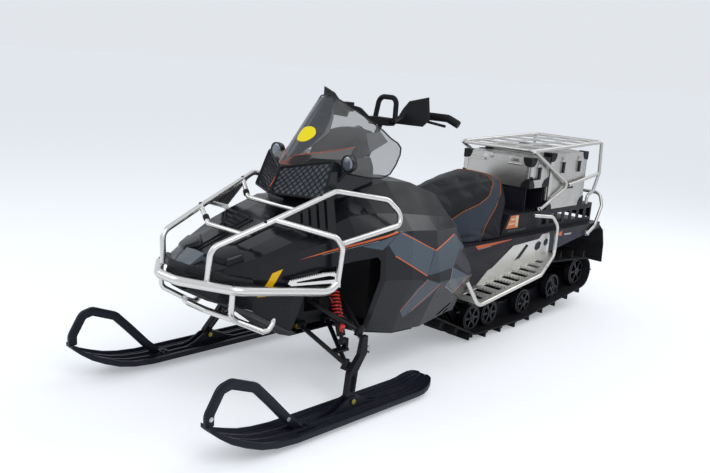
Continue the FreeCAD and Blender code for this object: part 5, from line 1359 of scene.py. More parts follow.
    def dash(self) -> None:
        """The instrument hood behind the screen, standing on the pod."""
        rings = []
        for x, half, low, high in self.hood_sections:
            profile = [(half, low), (half, high - 0.030), (half * 0.82, high - 0.006), (half * 0.35, high),
                       (0.0, high)]
            left = [Vector((x, y, z)) for y, z in profile]
            rings.append(left + opposite(left[:-1]))
        self.shop.add(Form().skin(rings), "instrument_hood", Finishes.CONSOLE, 25, bevel=0.003)
        face = [(0.0, 0.040), (0.036, 0.040), (0.040, 0.036), (0.036, 0.034), (0.035, 0.001)]
        dial = Form().lathe((0.474, 0.0, 1.060), (-0.95, 0, 0.31), face, 32)
        self.shop.add(dial, "instrument_dial", Finishes.LENS, 40)

    def screen_band(self) -> None:
        """The dark film along the screen's base, edged with orange lines."""
        foot = ((0.0, 0.951), (0.052, 0.949), (0.106, 0.946), (0.150, 0.945), (0.180, 0.960))
        head = ((0.0, 0.984), (0.052, 0.995), (0.106, 1.010), (0.150, 1.024), (0.180, 1.038))
        right_foot, right_head = ([(-y, z) for y, z in reversed(line[1:])] for line in (foot, head))
        band = self.film(right_foot + list(foot), right_head + list(head))
        self.shop.add(band, "screen_base_film", Finishes.SCREEN_BAND, 50)
        wings = self.film([(0.224, 1.019), (0.251, 1.066)], [(0.186, 1.098), (0.221, 1.104)]).twin()
        self.shop.add(wings, "screen_side_films", Finishes.SCREEN_CENTRE, 50)
        lines = Form()
        top = [(y, z + 0.001) for y, z in head[1:]]
        low = [(0.0, 0.954), (0.030, 0.954), (0.075, 0.955)]
        edge = [(0.004, 0.953), (0.030, 0.990), (0.052, 0.996)]
        for side in (1, -1):
            for places in (top, low, edge):
                lines.tube([self.on_screen(side * y, z, self.line_lift) for y, z in places], 0.0013, 6)
        self.shop.add(lines, "screen_orange_lines", Finishes.ORANGE_TRIM, 60)

    def disc(self) -> None:
        """A blank round sticker on the screen."""
        middle_y, middle_z, radius = self.sticker
        ys = [middle_y - radius * math.cos(math.pi * (k + 0.05) / 24.1) for k in range(25)]
        ys += [0.0, self.plan[1][1]]
        rings = []
        for y in sorted(ys):
            half = 0.86 * math.sqrt(max(0.0, radius ** 2 - (y - middle_y) ** 2)) + 0.0002
            zs = [middle_z + half * (k / 4 - 1) for k in range(9)]
            rings.append(self.layer([(y, z) for z in zs], *self.disc_layer))
        self.shop.add(Form().skin(rings), "blank_disc", Finishes.DISC, 50)


@dataclass
class Bumper:
    """Front bumper tubes with their step plates and clamps."""

    shop: Workshop
    step_outline: tuple[Flat, ...] = ((1.102, 0.541), (1.096, 0.551), (1.030, 0.558), (0.946, 0.567),
                                      (0.892, 0.566), (0.864, 0.545), (0.862, 0.502), (0.900, 0.506),
                                      (0.906, 0.524), (1.086, 0.531))
    step_slot: tuple[Flat, ...] = ((1.066, 0.545), (0.998, 0.551), (0.916, 0.556), (0.892, 0.550),
                                   (0.890, 0.538), (1.060, 0.540))
    step_face: tuple[float, float] = (0.5215, 0.199)
    step_thick: float = 0.004
    # Teeth along a step: first and last tooth as x and z, and their count
    step_teeth: tuple[tuple[Flat, Flat, int], ...] = (((1.092, 0.553), (0.952, 0.5685), 15),
                                                      ((0.944, 0.569), (0.896, 0.568), 6))
    tooth: float = 0.0048
    bolt_places: tuple[Place, ...] = ((1.150, 0.212, 0.771), (0.902, 0.252, 0.862), (1.316, 0.245, 0.552),
                                      (0.884, 0.358, 0.690))
    clamp_radius: float = 0.0135
    leg_radius: float = 0.013
    # Cross tubes' runs that carry a black clamp: start and end of each clamp on the left
    clamps: tuple[tuple[Place, Place], ...] = (((0.926, 0.186, 0.795), (0.919, 0.203, 0.809)),
                                               ((1.161, 0.145, 0.713), (1.157, 0.162, 0.727)))
    # Rear ends of the lower bar: a short leg up into the under-tray
    skid_leg: tuple[Place, ...] = ((1.156, 0.232, 0.341), (1.134, 0.238, 0.343), (1.112, 0.236, 0.366),
                                   (1.104, 0.232, 0.392))

    def build(self) -> None:
        """Dresses the tubes and adds the steps, clamps and bolts."""
        shop = self.shop
        shop.dress("bumper_main", Finishes.TUBE)
        shop.dress("bumper_rails", Finishes.TUBE)
        reach, slope = self.step_face
        matrix = plane_matrix((0, reach, 0), (1, -slope, 0), (0, 0, 1))
        stretch = math.hypot(1, slope)
        plate = cutout([(x * stretch, z) for x, z in self.step_outline],
                       [[(x * stretch, z) for x, z in self.step_slot]], self.step_thick, matrix)
        row = bpy.data.meshes.new("tooth host")
        row.from_pydata([(0, 0, 0)], [], [])
        meshes = [plate]
        for (x1, z1), (x2, z2), count in self.step_teeth:
            start = matrix @ Vector((x1 * stretch, z1, 0))
            end = matrix @ Vector((x2 * stretch, z2, 0))
            teeth = shop.repeat(shop.patterns.teeth, row.copy(), Finishes.TUBE, Count=count,
                                Step=tuple((end - start) / (count - 1)),
                                Size=(self.tooth, self.step_thick, self.tooth))
            teeth.transform(Matrix.Translation(start))
            meshes.append(teeth)
        shop.put(mesh_piece("step_plates", meshes, shop.finish(Finishes.TUBE), twin=True), Body.CHASSIS)
        sleeves = Form()
        for start, end in self.clamps:
            sleeves.tube([Vector(start), Vector(end)], self.clamp_radius, 14)
        sleeves.twin()
        shop.add(sleeves, "cross_tube_clamps", Finishes.MOULDED, 50, bevel=0.002)
        legs = Form().tube(rounded(list(self.skid_leg), 0.02, 4), self.leg_radius, 14).twin()
        shop.add(legs, "skid_bar_legs", Finishes.TUBE, 50)
        places = [((x, side * y, z), (0.2, side * 0.6, 0.8))
                  for x, y, z in self.bolt_places for side in (1, -1)]
        shop.bolts("bumper_bolts", places, 0.005, 0.005, Finishes.FRAME, Body.CHASSIS)


@dataclass
class Steering:
    """Bar, grips, guards, column, skis, legs and rods."""

    shop: Workshop
    # Left hand guard: outline seen from the front, then the crown of its bulge
    guard: tuple[Place, ...] = ((0.372, 0.150, 1.150), (0.386, 0.196, 1.202), (0.390, 0.232, 1.238),
                                (0.372, 0.322, 1.262), (0.364, 0.331, 1.166), (0.372, 0.300, 1.134),
                                (0.382, 0.150, 1.132))
    guard_crown: Place = (0.398, 0.232, 1.176)
    guard_thick: float = 0.0045
    # Keel and ears in side view, as x and z
    keel: tuple[Flat, ...] = ((0.500, 0.022), (0.530, 0.0), (1.180, 0.0), (1.240, 0.022))
    keel_width: float = 0.018
    ear: tuple[Flat, ...] = ((0.700, 0.029), (0.790, 0.050), (0.868, 0.086), (0.900, 0.091), (0.932, 0.084),
                             (0.990, 0.050), (1.075, 0.029))
    ear_width: float = 0.009
    ski_bolt: Flat = (0.900, 0.075)
    bow: tuple[Place, ...] = ((1.580, SKI_Y, 0.158), (1.581, SKI_Y, 0.198), (1.535, SKI_Y, 0.279),
                              (1.492, SKI_Y, 0.290), (1.386, SKI_Y, 0.250), (1.316, SKI_Y, 0.180),
                              (1.232, SKI_Y, 0.092), (1.178, SKI_Y, 0.045), (1.128, SKI_Y, 0.036))
    # Ski stations: x, height of the underside, half width, height of the side walls,
    # share of the ribs' height
    ski: tuple[tuple[float, ...], ...] = (
        (0.4305, 0.062, 0.022, 0.004, 0.0), (0.434, 0.058, 0.040, 0.007, 0.1),
        (0.443, 0.052, 0.056, 0.011, 0.3), (0.460, 0.043, 0.069, 0.014, 0.6),
        (0.485, 0.032, 0.078, 0.016, 1.0), (0.515, 0.023, 0.082, 0.016, 1.0),
        (0.550, 0.020, 0.082, 0.016, 1.0), (1.240, 0.020, 0.082, 0.016, 1.0),
        (1.330, 0.028, 0.081, 0.017, 1.0), (1.400, 0.042, 0.076, 0.018, 1.0),
        (1.465, 0.066, 0.067, 0.018, 0.9), (1.520, 0.092, 0.055, 0.016, 0.7),
        (1.562, 0.121, 0.042, 0.012, 0.4), (1.594, 0.150, 0.027, 0.008, 0.1))
    # Across one half of the ski: share of the half width, and what it lies on: 0 the sole,
    # 1 the inner rib, 2 the outer rib, 3 the side wall
    ski_across: tuple[tuple[float, int], ...] = ((0.20, 0), (0.24, 1), (0.36, 1), (0.40, 0), (0.55, 0),
                                                 (0.59, 2), (0.67, 2), (0.71, 0), (0.86, 0), (0.92, 3),
                                                 (1.0, 3))
    # Left shock absorber's lower and upper eye
    shock_foot: Place = (0.812, 0.335, 0.258)
    shock_top: Place = (0.780, 0.225, 0.480)
    bow_thick: float = 0.0185
    bow_half: float = 0.0105

    def build(self) -> None:
        """Dresses the steering and adds grips, springs and bolts."""
        shop = self.shop
        for node, finish in (("handlebar", Finishes.GRIP),
                             ("steering_post", Finishes.FRAME), ("spindle_left", Finishes.FORGED),
                             ("spindle_right", Finishes.FORGED), ("tie_rod_left", Finishes.ROD),
                             ("tie_rod_right", Finishes.ROD), ("control_arms", Finishes.ARM),
                             ("bulkhead", Finishes.FRAME)):
            shop.dress(node, finish)
        self.grips()
        self.hand_guards()
        self.bows()
        self.skis()
        self.springs()
        self.fasteners()

    def grips(self) -> None:
        """Raised rings on both grips."""
        shop = self.shop
        meshes = []
        for side in (1, -1):
            path = rounded([(0.300, side * 0.285, 1.1775), (0.276, side * 0.362, 1.176),
                            (0.262, side * 0.405, 1.156)], 0.03, 6)
            meshes.append(shop.repeat(shop.patterns.ribs, line_mesh(path), Finishes.GRIP,
                                      Pitch=0.0062, Ring=0.0166, Wire=0.0012))
        shop.put(joined(meshes, "grip_rings"), Body.BAR)

    def hand_guards(self) -> None:
        """Kite-shaped crowned guards before the grips, each on a short arm."""
        form = Form()
        rim = [Vector(p) for p in self.guard]
        crown = Vector(self.guard_crown)
        rings = []
        for share, lift in ((1.0, 0.0), (0.93, 0.004), (0.55, 0.0), (0.30, 0.0)):
            rings.append([crown.lerp(p, share) + AHEAD * lift for p in rim])
        back = [[p - AHEAD * self.guard_thick for p in ring] for ring in rings]
        form.skin([back[3], back[2], back[0], rings[0], rings[1], rings[2], rings[3]])
        form.tube(rounded([(0.378, 0.205, 1.160), (0.345, 0.215, 1.168), (0.306, 0.222, 1.176)], 0.02, 4),
                  0.007, 10)
        form.tube([(0.378, 0.178, 1.142), (0.312, 0.176, 1.170)], 0.006, 10)
        form.twin()
        piece = self.shop.add(form, "hand_guard_shells", Finishes.MOULDED, 24, Body.BAR)
        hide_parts("hand_guards")

    def bows(self) -> None:
        """The bent straps at the ski tips, with their feet."""
        for side, body, node in ((1, Body.SKI_LEFT, "ski_handle_left"),
                                 (-1, Body.SKI_RIGHT, "ski_handle_right")):
            path = rounded([(x, side * y, z) for x, y, z in self.bow], 0.032, 5)
            rings = []
            for i, point in enumerate(path):
                way = (path[min(i + 1, len(path) - 1)] - path[max(i - 1, 0)]).normalized()
                up = LEFT.cross(way)
                thick = self.bow_thick * (0.35 if i > len(path) - 4 else 1.0)
                rings.append([point + LEFT * (a * self.bow_half) + up * (b * thick) for a, b in BEVELLED])
            form = Form().skin(rings)
            y = side * SKI_Y
            form.block((1.118, y - 0.038, 0.0305), (1.196, y + 0.038, 0.0385))
            for x in (1.140, 1.168):
                form.tube([(x, y - 0.030, 0.043), (x, y + 0.030, 0.043)], 0.005, 8)
            piece = self.shop.add(form, f"ski_bow_{body.value}", Finishes.SKI, 40, body)
            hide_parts(node)

    def skis(self) -> None:
        """Both skis: a sole with side walls, ribs, rounded tail, keel, saddle ears and bolt."""
        for side, body, node in ((1, Body.SKI_LEFT, "ski_left"), (-1, Body.SKI_RIGHT, "ski_right")):
            y = side * SKI_Y
            rings = []
            for x, z, half, wall, share in self.ski:
                over = (0.010, 0.010 + 0.012 * share, 0.010 + 0.008 * share, 0.010 + wall)
                right = [(half * a, z + over[k]) for a, k in self.ski_across]
                right += [(half, z + 0.003), (half * 0.94, z)]
                left = [(-across, height) for across, height in reversed(right)]
                rings.append([Vector((x, y + across, height)) for across, height in left + right])
            form = Form().skin(rings)
            form.slab([(x, y - self.keel_width / 2, z) for x, z in self.keel], (0, self.keel_width, 0))
            for low in (-0.0223, 0.0133):
                form.slab([(x, y + low, z) for x, z in self.ear], (0, self.ear_width, 0))
            x, z = self.ski_bolt
            form.tube([(x, y - 0.029, z), (x, y + 0.029, z)], 0.007)
            piece = self.shop.add(form, f"{node}_shell", Finishes.SKI, 32, body, bevel=0.0012)
            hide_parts(node)

    def springs(self) -> None:
        """The red coil springs and dampers that stand for the shock absorbers."""
        shop = self.shop
        meshes = []
        damper = Form()
        for side in (1, -1):
            foot, top = (Vector((x, side * y, z)) for x, y, z in (self.shock_foot, self.shock_top))
            axis = top - foot
            long = axis.length
            coil = shop.repeat(shop.patterns.coil, bpy.data.meshes.new("coil host"), Finishes.RED,
                               Turns=8.5, Coil=0.0195, Length=long * 0.50, Wire=0.0036)
            turn = UP.rotation_difference(axis).to_matrix().to_4x4()
            coil.transform(Matrix.Translation(foot + axis * 0.37) @ turn)
            meshes.append(coil)
            tube = [(0.0, 0.009), (0.022, 0.009), (0.024, 0.019), (long * 0.40, 0.019),
                    (long * 0.42, 0.012), (long * 0.88, 0.0085), (long, 0.0085)]
            low_seat = [(0.0, 0.019), (0.0, 0.0258), (0.005, 0.0258), (0.005, 0.019)]
            high_seat = [(0.0, 0.010), (0.0, 0.0258), (0.006, 0.0258), (0.010, 0.014)]
            eye = [(0.0, 0.008), (0.0, 0.014), (0.026, 0.014), (0.026, 0.008)]
            damper.lathe(foot, axis, tube, 20)
            damper.lathe(foot + axis * 0.355, axis, low_seat, 24)
            damper.lathe(foot + axis * 0.875, axis, high_seat, 24)
            for place in (foot, top):
                damper.lathe(place - AHEAD * 0.013, AHEAD, eye, 20)
        piece = shop.add(damper, "shock_bodies", Finishes.FRAME, 40)
        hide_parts("shocks")
        shop.put(joined(meshes, "shock_springs"), Body.CHASSIS)

    def fasteners(self) -> None:
        """Plated bolts of arms, legs and skis."""
        shop = self.shop
        arms = [((0.925, side * 0.168, z), (1, 0, 0)) for side in (1, -1) for z in (0.425, 0.300)]
        shop.bolts("arm_bolts", arms, 0.009, 0.008, Finishes.YELLOW, Body.CHASSIS)
        for side, body in ((1, Body.SKI_LEFT), (-1, Body.SKI_RIGHT)):
            x, z = self.ski_bolt
            places = [((x, side * (SKI_Y + 0.0305), z), (0, side, 0)),
                      ((x, side * (SKI_Y - 0.0305), z), (0, -side, 0))]
            shop.bolts(f"leg_bolts_{body.value}", places, 0.0075, 0.005, Finishes.YELLOW, body)
            rivets = [((x, side * (SKI_Y + 0.0115), z), (0, side, 0))
                      for x, z in ((1.578, 0.186), (1.226, 0.086))]
            shop.bolts(f"bow_rivets_{body.value}", rivets, 0.006, 0.003, Finishes.BOLT, body)
        valve = Form()
        valve.lathe((0.842, 0.352, 0.318), (0.2, 0.5, 0.84), [(0.0, 0.007), (0.012, 0.007), (0.014, 0.011),
                                                              (0.026, 0.011), (0.028, 0.007)], 12)
        valve.tube([(0.842, 0.352, 0.318), (0.815, 0.334, 0.300)], 0.006, 10)
        valve.twin()
        shop.add(valve, "damper_valves", Finishes.RED, 40)


@dataclass
class Seat:
    """The long saddle, simulated as a filled cover over foam, with its seams."""

    shop: Workshop
    stations: tuple[tuple[float, ...], ...] = (
        (0.018, 0.792, 0.086, 0.778, 0.128, 0.690, 0.150),
        (-0.100, 0.812, 0.096, 0.796, 0.150, 0.690, 0.190),
        (-0.213, 0.835, 0.118, 0.814, 0.172, 0.705, 0.224),
        (-0.350, 0.856, 0.142, 0.834, 0.186, 0.730, 0.236),
        (-0.480, 0.865, 0.152, 0.842, 0.190, 0.745, 0.236),
        (-0.540, 0.852, 0.146, 0.826, 0.182, 0.740, 0.226),
        (-0.596, 0.775, 0.124, 0.758, 0.155, 0.700, 0.200),
    )
    foot_z: float = 0.5353
    # Seams in side view: x, z from the front to the rear
    top_seam: tuple[Flat, ...] = ((0.030, 0.590), (-0.084, 0.653), (-0.175, 0.692), (-0.290, 0.722),
                                  (-0.371, 0.757), (-0.438, 0.817), (-0.478, 0.880))
    band_seam: tuple[Flat, ...] = ((-0.262, 0.500), (-0.279, 0.537), (-0.312, 0.613), (-0.410, 0.698),
                                   (-0.472, 0.767), (-0.516, 0.823), (-0.545, 0.880))
    voxel: float = 0.006
    pressure: float = 4.0
    cap: float = 0.010
    start_inset: float = 0.004
    section_pitch: float = 0.0125
    # Sloped rear face: its foot as x and z, its rise and how far it runs back over that
    rear_foot: Flat = (-0.438, 0.530)
    rear_rise: float = 0.800 - 0.530
    rear_run: float = 0.170
    # Cloth: stiffness against stretch, against bending, and frames it takes to settle
    stiffness: float = 30.0
    bending: float = 6.0
    frames: int = 20
    piping_radius: float = 0.0022
    seam_lift: float = 0.0008
    # Flange towards the console: x and share of the front section's size
    flange: tuple[Flat, ...] = ((-0.020, 0.93), (0.012, 0.95), (0.030, 0.95), (0.070, 0.90))

    def half_section(self, x: float) -> list[Flat]:
        """Foot, waist, top edge and crown of the section at x."""
        rows = self.stations
        x = max(rows[-1][0], min(rows[0][0], x))
        for ahead, behind in zip(rows, rows[1:]):
            if behind[0] <= x <= ahead[0]:
                part = (ahead[0] - x) / (ahead[0] - behind[0])
                part = part * part * (3 - 2 * part) * 0.35 + part * 0.65
                crown, y1, z1, y2, z2, y3 = (a + part * (b - a) for a, b in zip(ahead[1:], behind[1:]))
                return [(y3, self.foot_z), (y2, z2), (y1, z1), (0.0, crown)]
        return []

    def section(self, x: float, count: int = 10) -> list[Vector]:
        """A smooth closed section at x."""
        inset = self.start_inset
        foot, waist, edge, crown = self.half_section(x)
        half: list[Vector] = []
        flank = [foot, waist, edge]
        for (y1, z1), (y2, z2) in zip(flank, flank[1:]):
            for k in range(count // 2):
                share = k / (count // 2)
                half.append(Vector((x, y1 + (y2 - y1) * share, z1 + (z2 - z1) * share)))
        for k in range(count + 1):
            angle = math.pi / 2 * k / count
            y = edge[0] * math.cos(angle) ** 0.9 if k < count else 0.0
            z = edge[1] + (crown[1] - edge[1]) * math.sin(angle)
            half.append(Vector((x, y, z)))
        for point in half:
            point.y = max(0.0, point.y - inset)
            if point.z > self.foot_z + 0.01:
                point.z -= inset
        return half + opposite(half[:-1])

    def nose(self) -> None:
        """The dark flange between the front of the seat and the console."""
        base = self.section(self.stations[0][0] - self.start_inset)
        middle_z = self.foot_z + 0.1
        rings = []
        for x, share in self.flange:
            rings.append([Vector((x, p.y * share, middle_z + (p.z - middle_z) * share)) for p in base])
        self.shop.add(Form().skin(rings), "seat_nose", Finishes.MOULDED, 40)

    def body(self) -> bpy.types.Object:
        """The cover's cut blank, before it is filled."""
        front = self.stations[0][0] - self.start_inset
        stops = [front - i * self.section_pitch for i in range(49)]
        form = Form().skin([self.section(x) for x in stops if x >= self.stations[-1][0]])
        bm = form.bm
        origin = Vector((self.rear_foot[0] + self.start_inset, 0, self.rear_foot[1]))
        normal = Vector((-self.rear_rise, 0, -self.rear_run)).normalized()
        bmesh.ops.bisect_plane(bm, geom=[*bm.verts, *bm.edges, *bm.faces], plane_co=origin, plane_no=normal,
                               clear_outer=True)
        bmesh.ops.holes_fill(bm, edges=[e for e in bm.edges if len(e.link_faces) == 1], sides=0)
        piece = form.make("seat_cover", self.shop.finish(Finishes.SEAT), 80)
        remesh = piece.modifiers.new("skin", "REMESH")
        remesh.mode = "VOXEL"
        remesh.voxel_size = self.voxel
        self.apply(piece)
        return piece

    def swell(self, piece: bpy.types.Object) -> None:
        """Fills the cover with air in the cloth simulation and caps how far a point moves."""
        rest = [v.co.copy() for v in piece.data.vertices]
        group = piece.vertex_groups.new(name="held")
        group.add([v.index for v in piece.data.vertices if v.co.z < self.foot_z + 0.012], 1.0, "REPLACE")
        cloth = piece.modifiers.new("cover", "CLOTH").settings
        cloth.use_pressure = True
        cloth.uniform_pressure_force = self.pressure
        cloth.tension_stiffness = self.stiffness
        cloth.compression_stiffness = self.stiffness
        cloth.bending_stiffness = self.bending
        cloth.vertex_group_mass = "held"
        cloth.effector_weights.gravity = 0.0
        cloth.quality = 5
        for number in range(1, self.frames + 1):
            bpy.context.scene.frame_set(number)
        result = settled(piece)
        moved = [v.co.copy() for v in result.vertices]
        piece.modifiers.clear()
        bpy.data.meshes.remove(result)
        for vertex, start, end in zip(piece.data.vertices, rest, moved):
            way = end - start
            if way.length > self.cap:
                way = way * (self.cap / way.length)
            vertex.co = start + way
        bpy.context.scene.frame_set(1)

    @staticmethod
    def apply(piece: bpy.types.Object) -> None:
        """Turns a piece's modifiers into its plain mesh."""
        result = settled(piece)
        piece.modifiers.clear()
        piece.data = result

    @staticmethod
    def signed(x: float, z: float, line: tuple[Flat, ...]) -> float:
        """Distance from a seam line in side view, positive above and ahead of it."""
        best = 1e9
        sign = 1.0
        for (x1, z1), (x2, z2) in zip(line, line[1:]):
            dx, dz = x2 - x1, z2 - z1
            share = max(0.0, min(1.0, ((x - x1) * dx + (z - z1) * dz) / (dx * dx + dz * dz)))
            away = math.hypot(x - x1 - share * dx, z - z1 - share * dz)
            if away < best:
                best = away
                sign = 1.0 if (dz * (x - x1) - dx * (z - z1)) > 0 else -1.0
        return best * sign

    def seam_points(self, surface: BVHTree, line: tuple[Flat, ...]) -> list[Vector]:
        """A seam's points laid on the cover, from the left foot over the top to the right."""
        left = []
        for point in rounded([(x, 0.0, z) for x, z in line], 0.08, 5):
            spot, normal, _, _ = surface.ray_cast(Vector((point.x, 0.5, point.z)), -LEFT)
            if spot is not None and spot.y > 0.002:
                left.append(spot + normal * self.seam_lift)
        last = left[-1]
        over = []
        for k in range(1, 10):
            spot, normal, _, _ = surface.ray_cast(Vector((last.x, last.y * (1 - k / 5.0), 1.2)), -UP)
            if spot is not None:
                over.append(spot + normal * self.seam_lift)
        return left + over + opposite(left)

    def cover(self) -> bpy.types.Object:
        """The finished cover with its colour zones."""
        piece = self.body()
        self.swell(piece)
        smooth = piece.modifiers.new("even", "SMOOTH")
        smooth.iterations = 4
        smooth.factor = 0.5
        self.apply(piece)
        for name, line in (("zone_top", self.top_seam), ("zone_band", self.band_seam)):
            zone = piece.data.attributes.new(name, "FLOAT", "POINT")
            for vertex in piece.data.vertices:
                zone.data[vertex.index].value = self.signed(vertex.co.x, vertex.co.z, line)
        for polygon in piece.data.polygons:
            polygon.use_smooth = True
        piece.data.materials.clear()
        piece.data.materials.append(self.shop.finish(Finishes.SEAT))
        return piece

    def build(self) -> None:
        """Makes the seat, its flange, its piping and its stitches."""
        shop = self.shop
        piece = self.cover()
        shop.put(piece, Body.CHASSIS, "seat_cover")
        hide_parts("seat")
        surface = faces_of(piece.data)
        piping = Form()
        stitches = []
        for line in (self.top_seam, self.band_seam):
            points = self.seam_points(surface, line)
            piping.tube(points, self.piping_radius, 8)
            row = [p + Vector((-0.006, 0, 0.002)) for p in points]
            stitches.append(shop.repeat(shop.patterns.beads, line_mesh(row), Finishes.PIPING,
                                        Pitch=0.007, Size=0.0009, Stretch=2.4))
        shop.add(piping, "seat_piping", Finishes.PIPING, 60)
        self.nose()
        shop.put(joined(stitches, "seat_stitches"), Body.CHASSIS)


@dataclass
class Luggage:
    """Cases with their fittings, the rack and the deck."""

    shop: Workshop
    cap_radius: float = 0.054
    proud: float = 0.003
    # Corner post in plan, from the case's corner inwards along x and y
    post: tuple[Flat, ...] = ((-0.0016, 0.030), (-0.0016, 0.010), (0.003, 0.003), (0.010, -0.0016),
                              (0.030, -0.0016), (0.030, 0.002), (0.002, 0.030))
    # Hinge plates on the front lid: both edges across
    hinge_plates: tuple[Flat, ...] = ((-0.094, -0.026), (0.074, 0.142))
    # Handles: case and share of its length
    handles: tuple[tuple[str, float], ...] = (("box_front", 0.74), ("box_rear", 0.46))

    def build(self) -> None:
        """Dresses cases and rack and adds their fittings."""
        shop = self.shop
        for node in ("box_front", "box_front_lid", "box_rear", "box_rear_lid"):
            shop.dress(node, Finishes.CASE)
        shop.dress("cage", Finishes.RACK)
        shop.dress("rear_deck", Finishes.SHEET)
        for name, lid in (("box_front", Body.FRONT_LID), ("box_rear", Body.REAR_LID)):
            self.caps(name, lid)
            self.posts(name)
        self.latches("box_front", Body.FRONT_LID, (0.56,))
        self.latches("box_rear", Body.REAR_LID, (0.24, 0.68))
        self.front_plates()
        self.cage_sheet()

    def case_box(self, name: str) -> tuple[Vector, Vector, Vector, Vector]:
        """Corners of a case's body and of its lid, without the hinges."""
        low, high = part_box(name)
        lid_low, lid_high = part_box(name + "_lid")
        low.y, lid_low.y = -high.y, -high.y
        reach = 0.011 if name == "box_front" else 0.0
        high.x -= reach
        lid_high.x -= reach
        return low, high, lid_low, lid_high

    def corner(self, corner: Vector, low: Vector, high: Vector, form: Form) -> None:
        """One moulded corner cap: a ball pressed flat against three faces."""
        start = len(form.bm.verts)
        bmesh.ops.create_icosphere(form.bm, subdivisions=3, radius=self.cap_radius,
                                   matrix=Matrix.Translation(corner))
        form.bm.verts.ensure_lookup_table()
        for vertex in form.bm.verts[start:]:
            for axis in range(3):
                vertex.co[axis] = min(high[axis] + self.proud, max(low[axis] - self.proud, vertex.co[axis]))

    def caps(self, name: str, lid: Body) -> None:
        """Black corner caps on the lid and at the case's foot."""
        low, high, lid_low, lid_high = self.case_box(name)
        upper = Form()
        lower = Form()
        lid_foot = Vector((lid_low.x, lid_low.y, lid_low.z + 0.001))
        foot = Vector((low.x, low.y, low.z + self.proud))
        for x in (lid_low.x, lid_high.x):
            for y in (lid_low.y, lid_high.y):
                self.corner(Vector((x, y, lid_high.z)), lid_foot, lid_high, upper)
                self.corner(Vector((x, y, low.z)), foot, high, lower)
        shop = self.shop
        shop.add(upper, name + "_lid_caps", Finishes.MOULDED, 40, lid)
        shop.add(lower, name + "_foot_caps", Finishes.MOULDED, 40)

    def posts(self, name: str) -> None:
        """The rolled corner posts of a case."""
        low, high, _, _ = self.case_box(name)
        form = Form()
        for x, inward in ((low.x, 1), (high.x, -1)):
            for y, side in ((low.y, 1), (high.y, -1)):
                form.skin([[Vector((x + inward * a, y + side * b, z)) for a, b in self.post]
                           for z in (low.z + 0.040, high.z - 0.002)])
        self.shop.add(form, name + "_corner_posts", Finishes.CASE_EDGE, 40)

    def front_plates(self) -> None:
        """Hinge plates over the front case's front top edge, and both cases' black carrying handles."""
        _, high, _, lid_high = self.case_box("box_front")
        form = Form()
        for right, left in self.hinge_plates:
            form.block((high.x - 0.020, right, lid_high.z), (high.x + 0.0022, left, lid_high.z + 0.0022))
            form.block((high.x, right, lid_high.z - 0.026), (high.x + 0.0022, left, lid_high.z))
        self.shop.add(form, "front_lid_plates", Finishes.CASE_EDGE, 40, Body.FRONT_LID, bevel=0.0006)
        handle = Form()
        for name, share in self.handles:
            low, high, _, _ = self.case_box(name)
            x, y, z = low.x + (high.x - low.x) * share, high.y, low.z + (high.z - low.z) * 0.42
            route = [(x - 0.036, y - 0.002, z), (x - 0.036, y + 0.011, z - 0.004),
                     (x + 0.036, y + 0.011, z - 0.004), (x + 0.036, y - 0.002, z)]
            handle.tube(rounded(route, 0.008, 3), 0.0045, 8)
            for near, far in ((-0.048, -0.026), (0.026, 0.048)):
                handle.block((x + near, y, z - 0.010), (x + far, y + 0.003, z + 0.010))
        self.shop.add(handle, "case_handles", Finishes.MOULDED, 40)

    def cage_sheet(self) -> None:
        """The punched sheet in the rack's top and the sleeves where its side rail starts."""
        front, rear = Vector((-0.690, 0, 0.9879)), Vector((-1.410, 0, 1.0162))
        matrix = plane_matrix(tuple((front + rear) / 2), tuple(rear - front), (0, 1, 0))
        half = (rear - front).length / 2
        outline = [(-half, -0.224), (half, -0.218), (half, 0.218), (-half, 0.224)]
        holes = []
        for column in range(5):
            for row in range(3):
                u = -half + (column + 0.5) * half * 0.4
                v = (row - 1) * 0.142
                holes.append([(u + math.cos(k * math.pi / 8) * 0.052, v + math.sin(k * math.pi / 8) * 0.055)
                              for k in range(16)])
        plate = cutout(outline, holes, 0.003, matrix)
        self.shop.put(mesh_piece("rack_sheet", [plate], self.shop.finish(Finishes.RACK)), Body.CHASSIS)
        sleeve = Form().tube([(-1.060, 0.2440, 0.7820), (-1.122, 0.2430, 0.7895)], 0.0122, 16).twin()
        self.shop.add(sleeve, "rack_rail_sleeves", Finishes.RACK, 50)

    def latches(self, name: str, lid: Body, shares: tuple[float, ...]) -> None:
        """Lever latches on the left end, their catches on the lid."""
        low, high, lid_low, _ = self.case_box(name)
        shop = self.shop
        plates, levers, catches = Form(), Form(), Form()
        face = high.y
        for share in shares:
            x = low.x + (high.x - low.x) * share
            top = high.z - 0.001
            plates.block((x - 0.018, face, top - 0.085), (x + 0.018, face + 0.003, top))
            levers.block((x - 0.010, face + 0.003, top - 0.078), (x + 0.010, face + 0.011, top - 0.022))
            levers.tube([(x - 0.013, face + 0.007, top - 0.020), (x + 0.013, face + 0.007, top - 0.020)],
                        0.005, 12)
            catches.block((x - 0.014, face, lid_low.z + 0.002),
                          (x + 0.014, face + 0.004, lid_low.z + 0.022))
            catches.tube([Vector((x - 0.010, face + 0.006, lid_low.z + 0.012)),
                          Vector((x + 0.010, face + 0.006, lid_low.z + 0.012))], 0.0035, 10)
        shop.add(plates, name + "_latch_plates", Finishes.CASE, 40, bevel=0.0008)
        shop.add(levers, name + "_latch_levers", Finishes.FRAME, 40, bevel=0.0012)
        shop.add(catches, name + "_latch_catches", Finishes.CASE, 40, lid, bevel=0.0008)


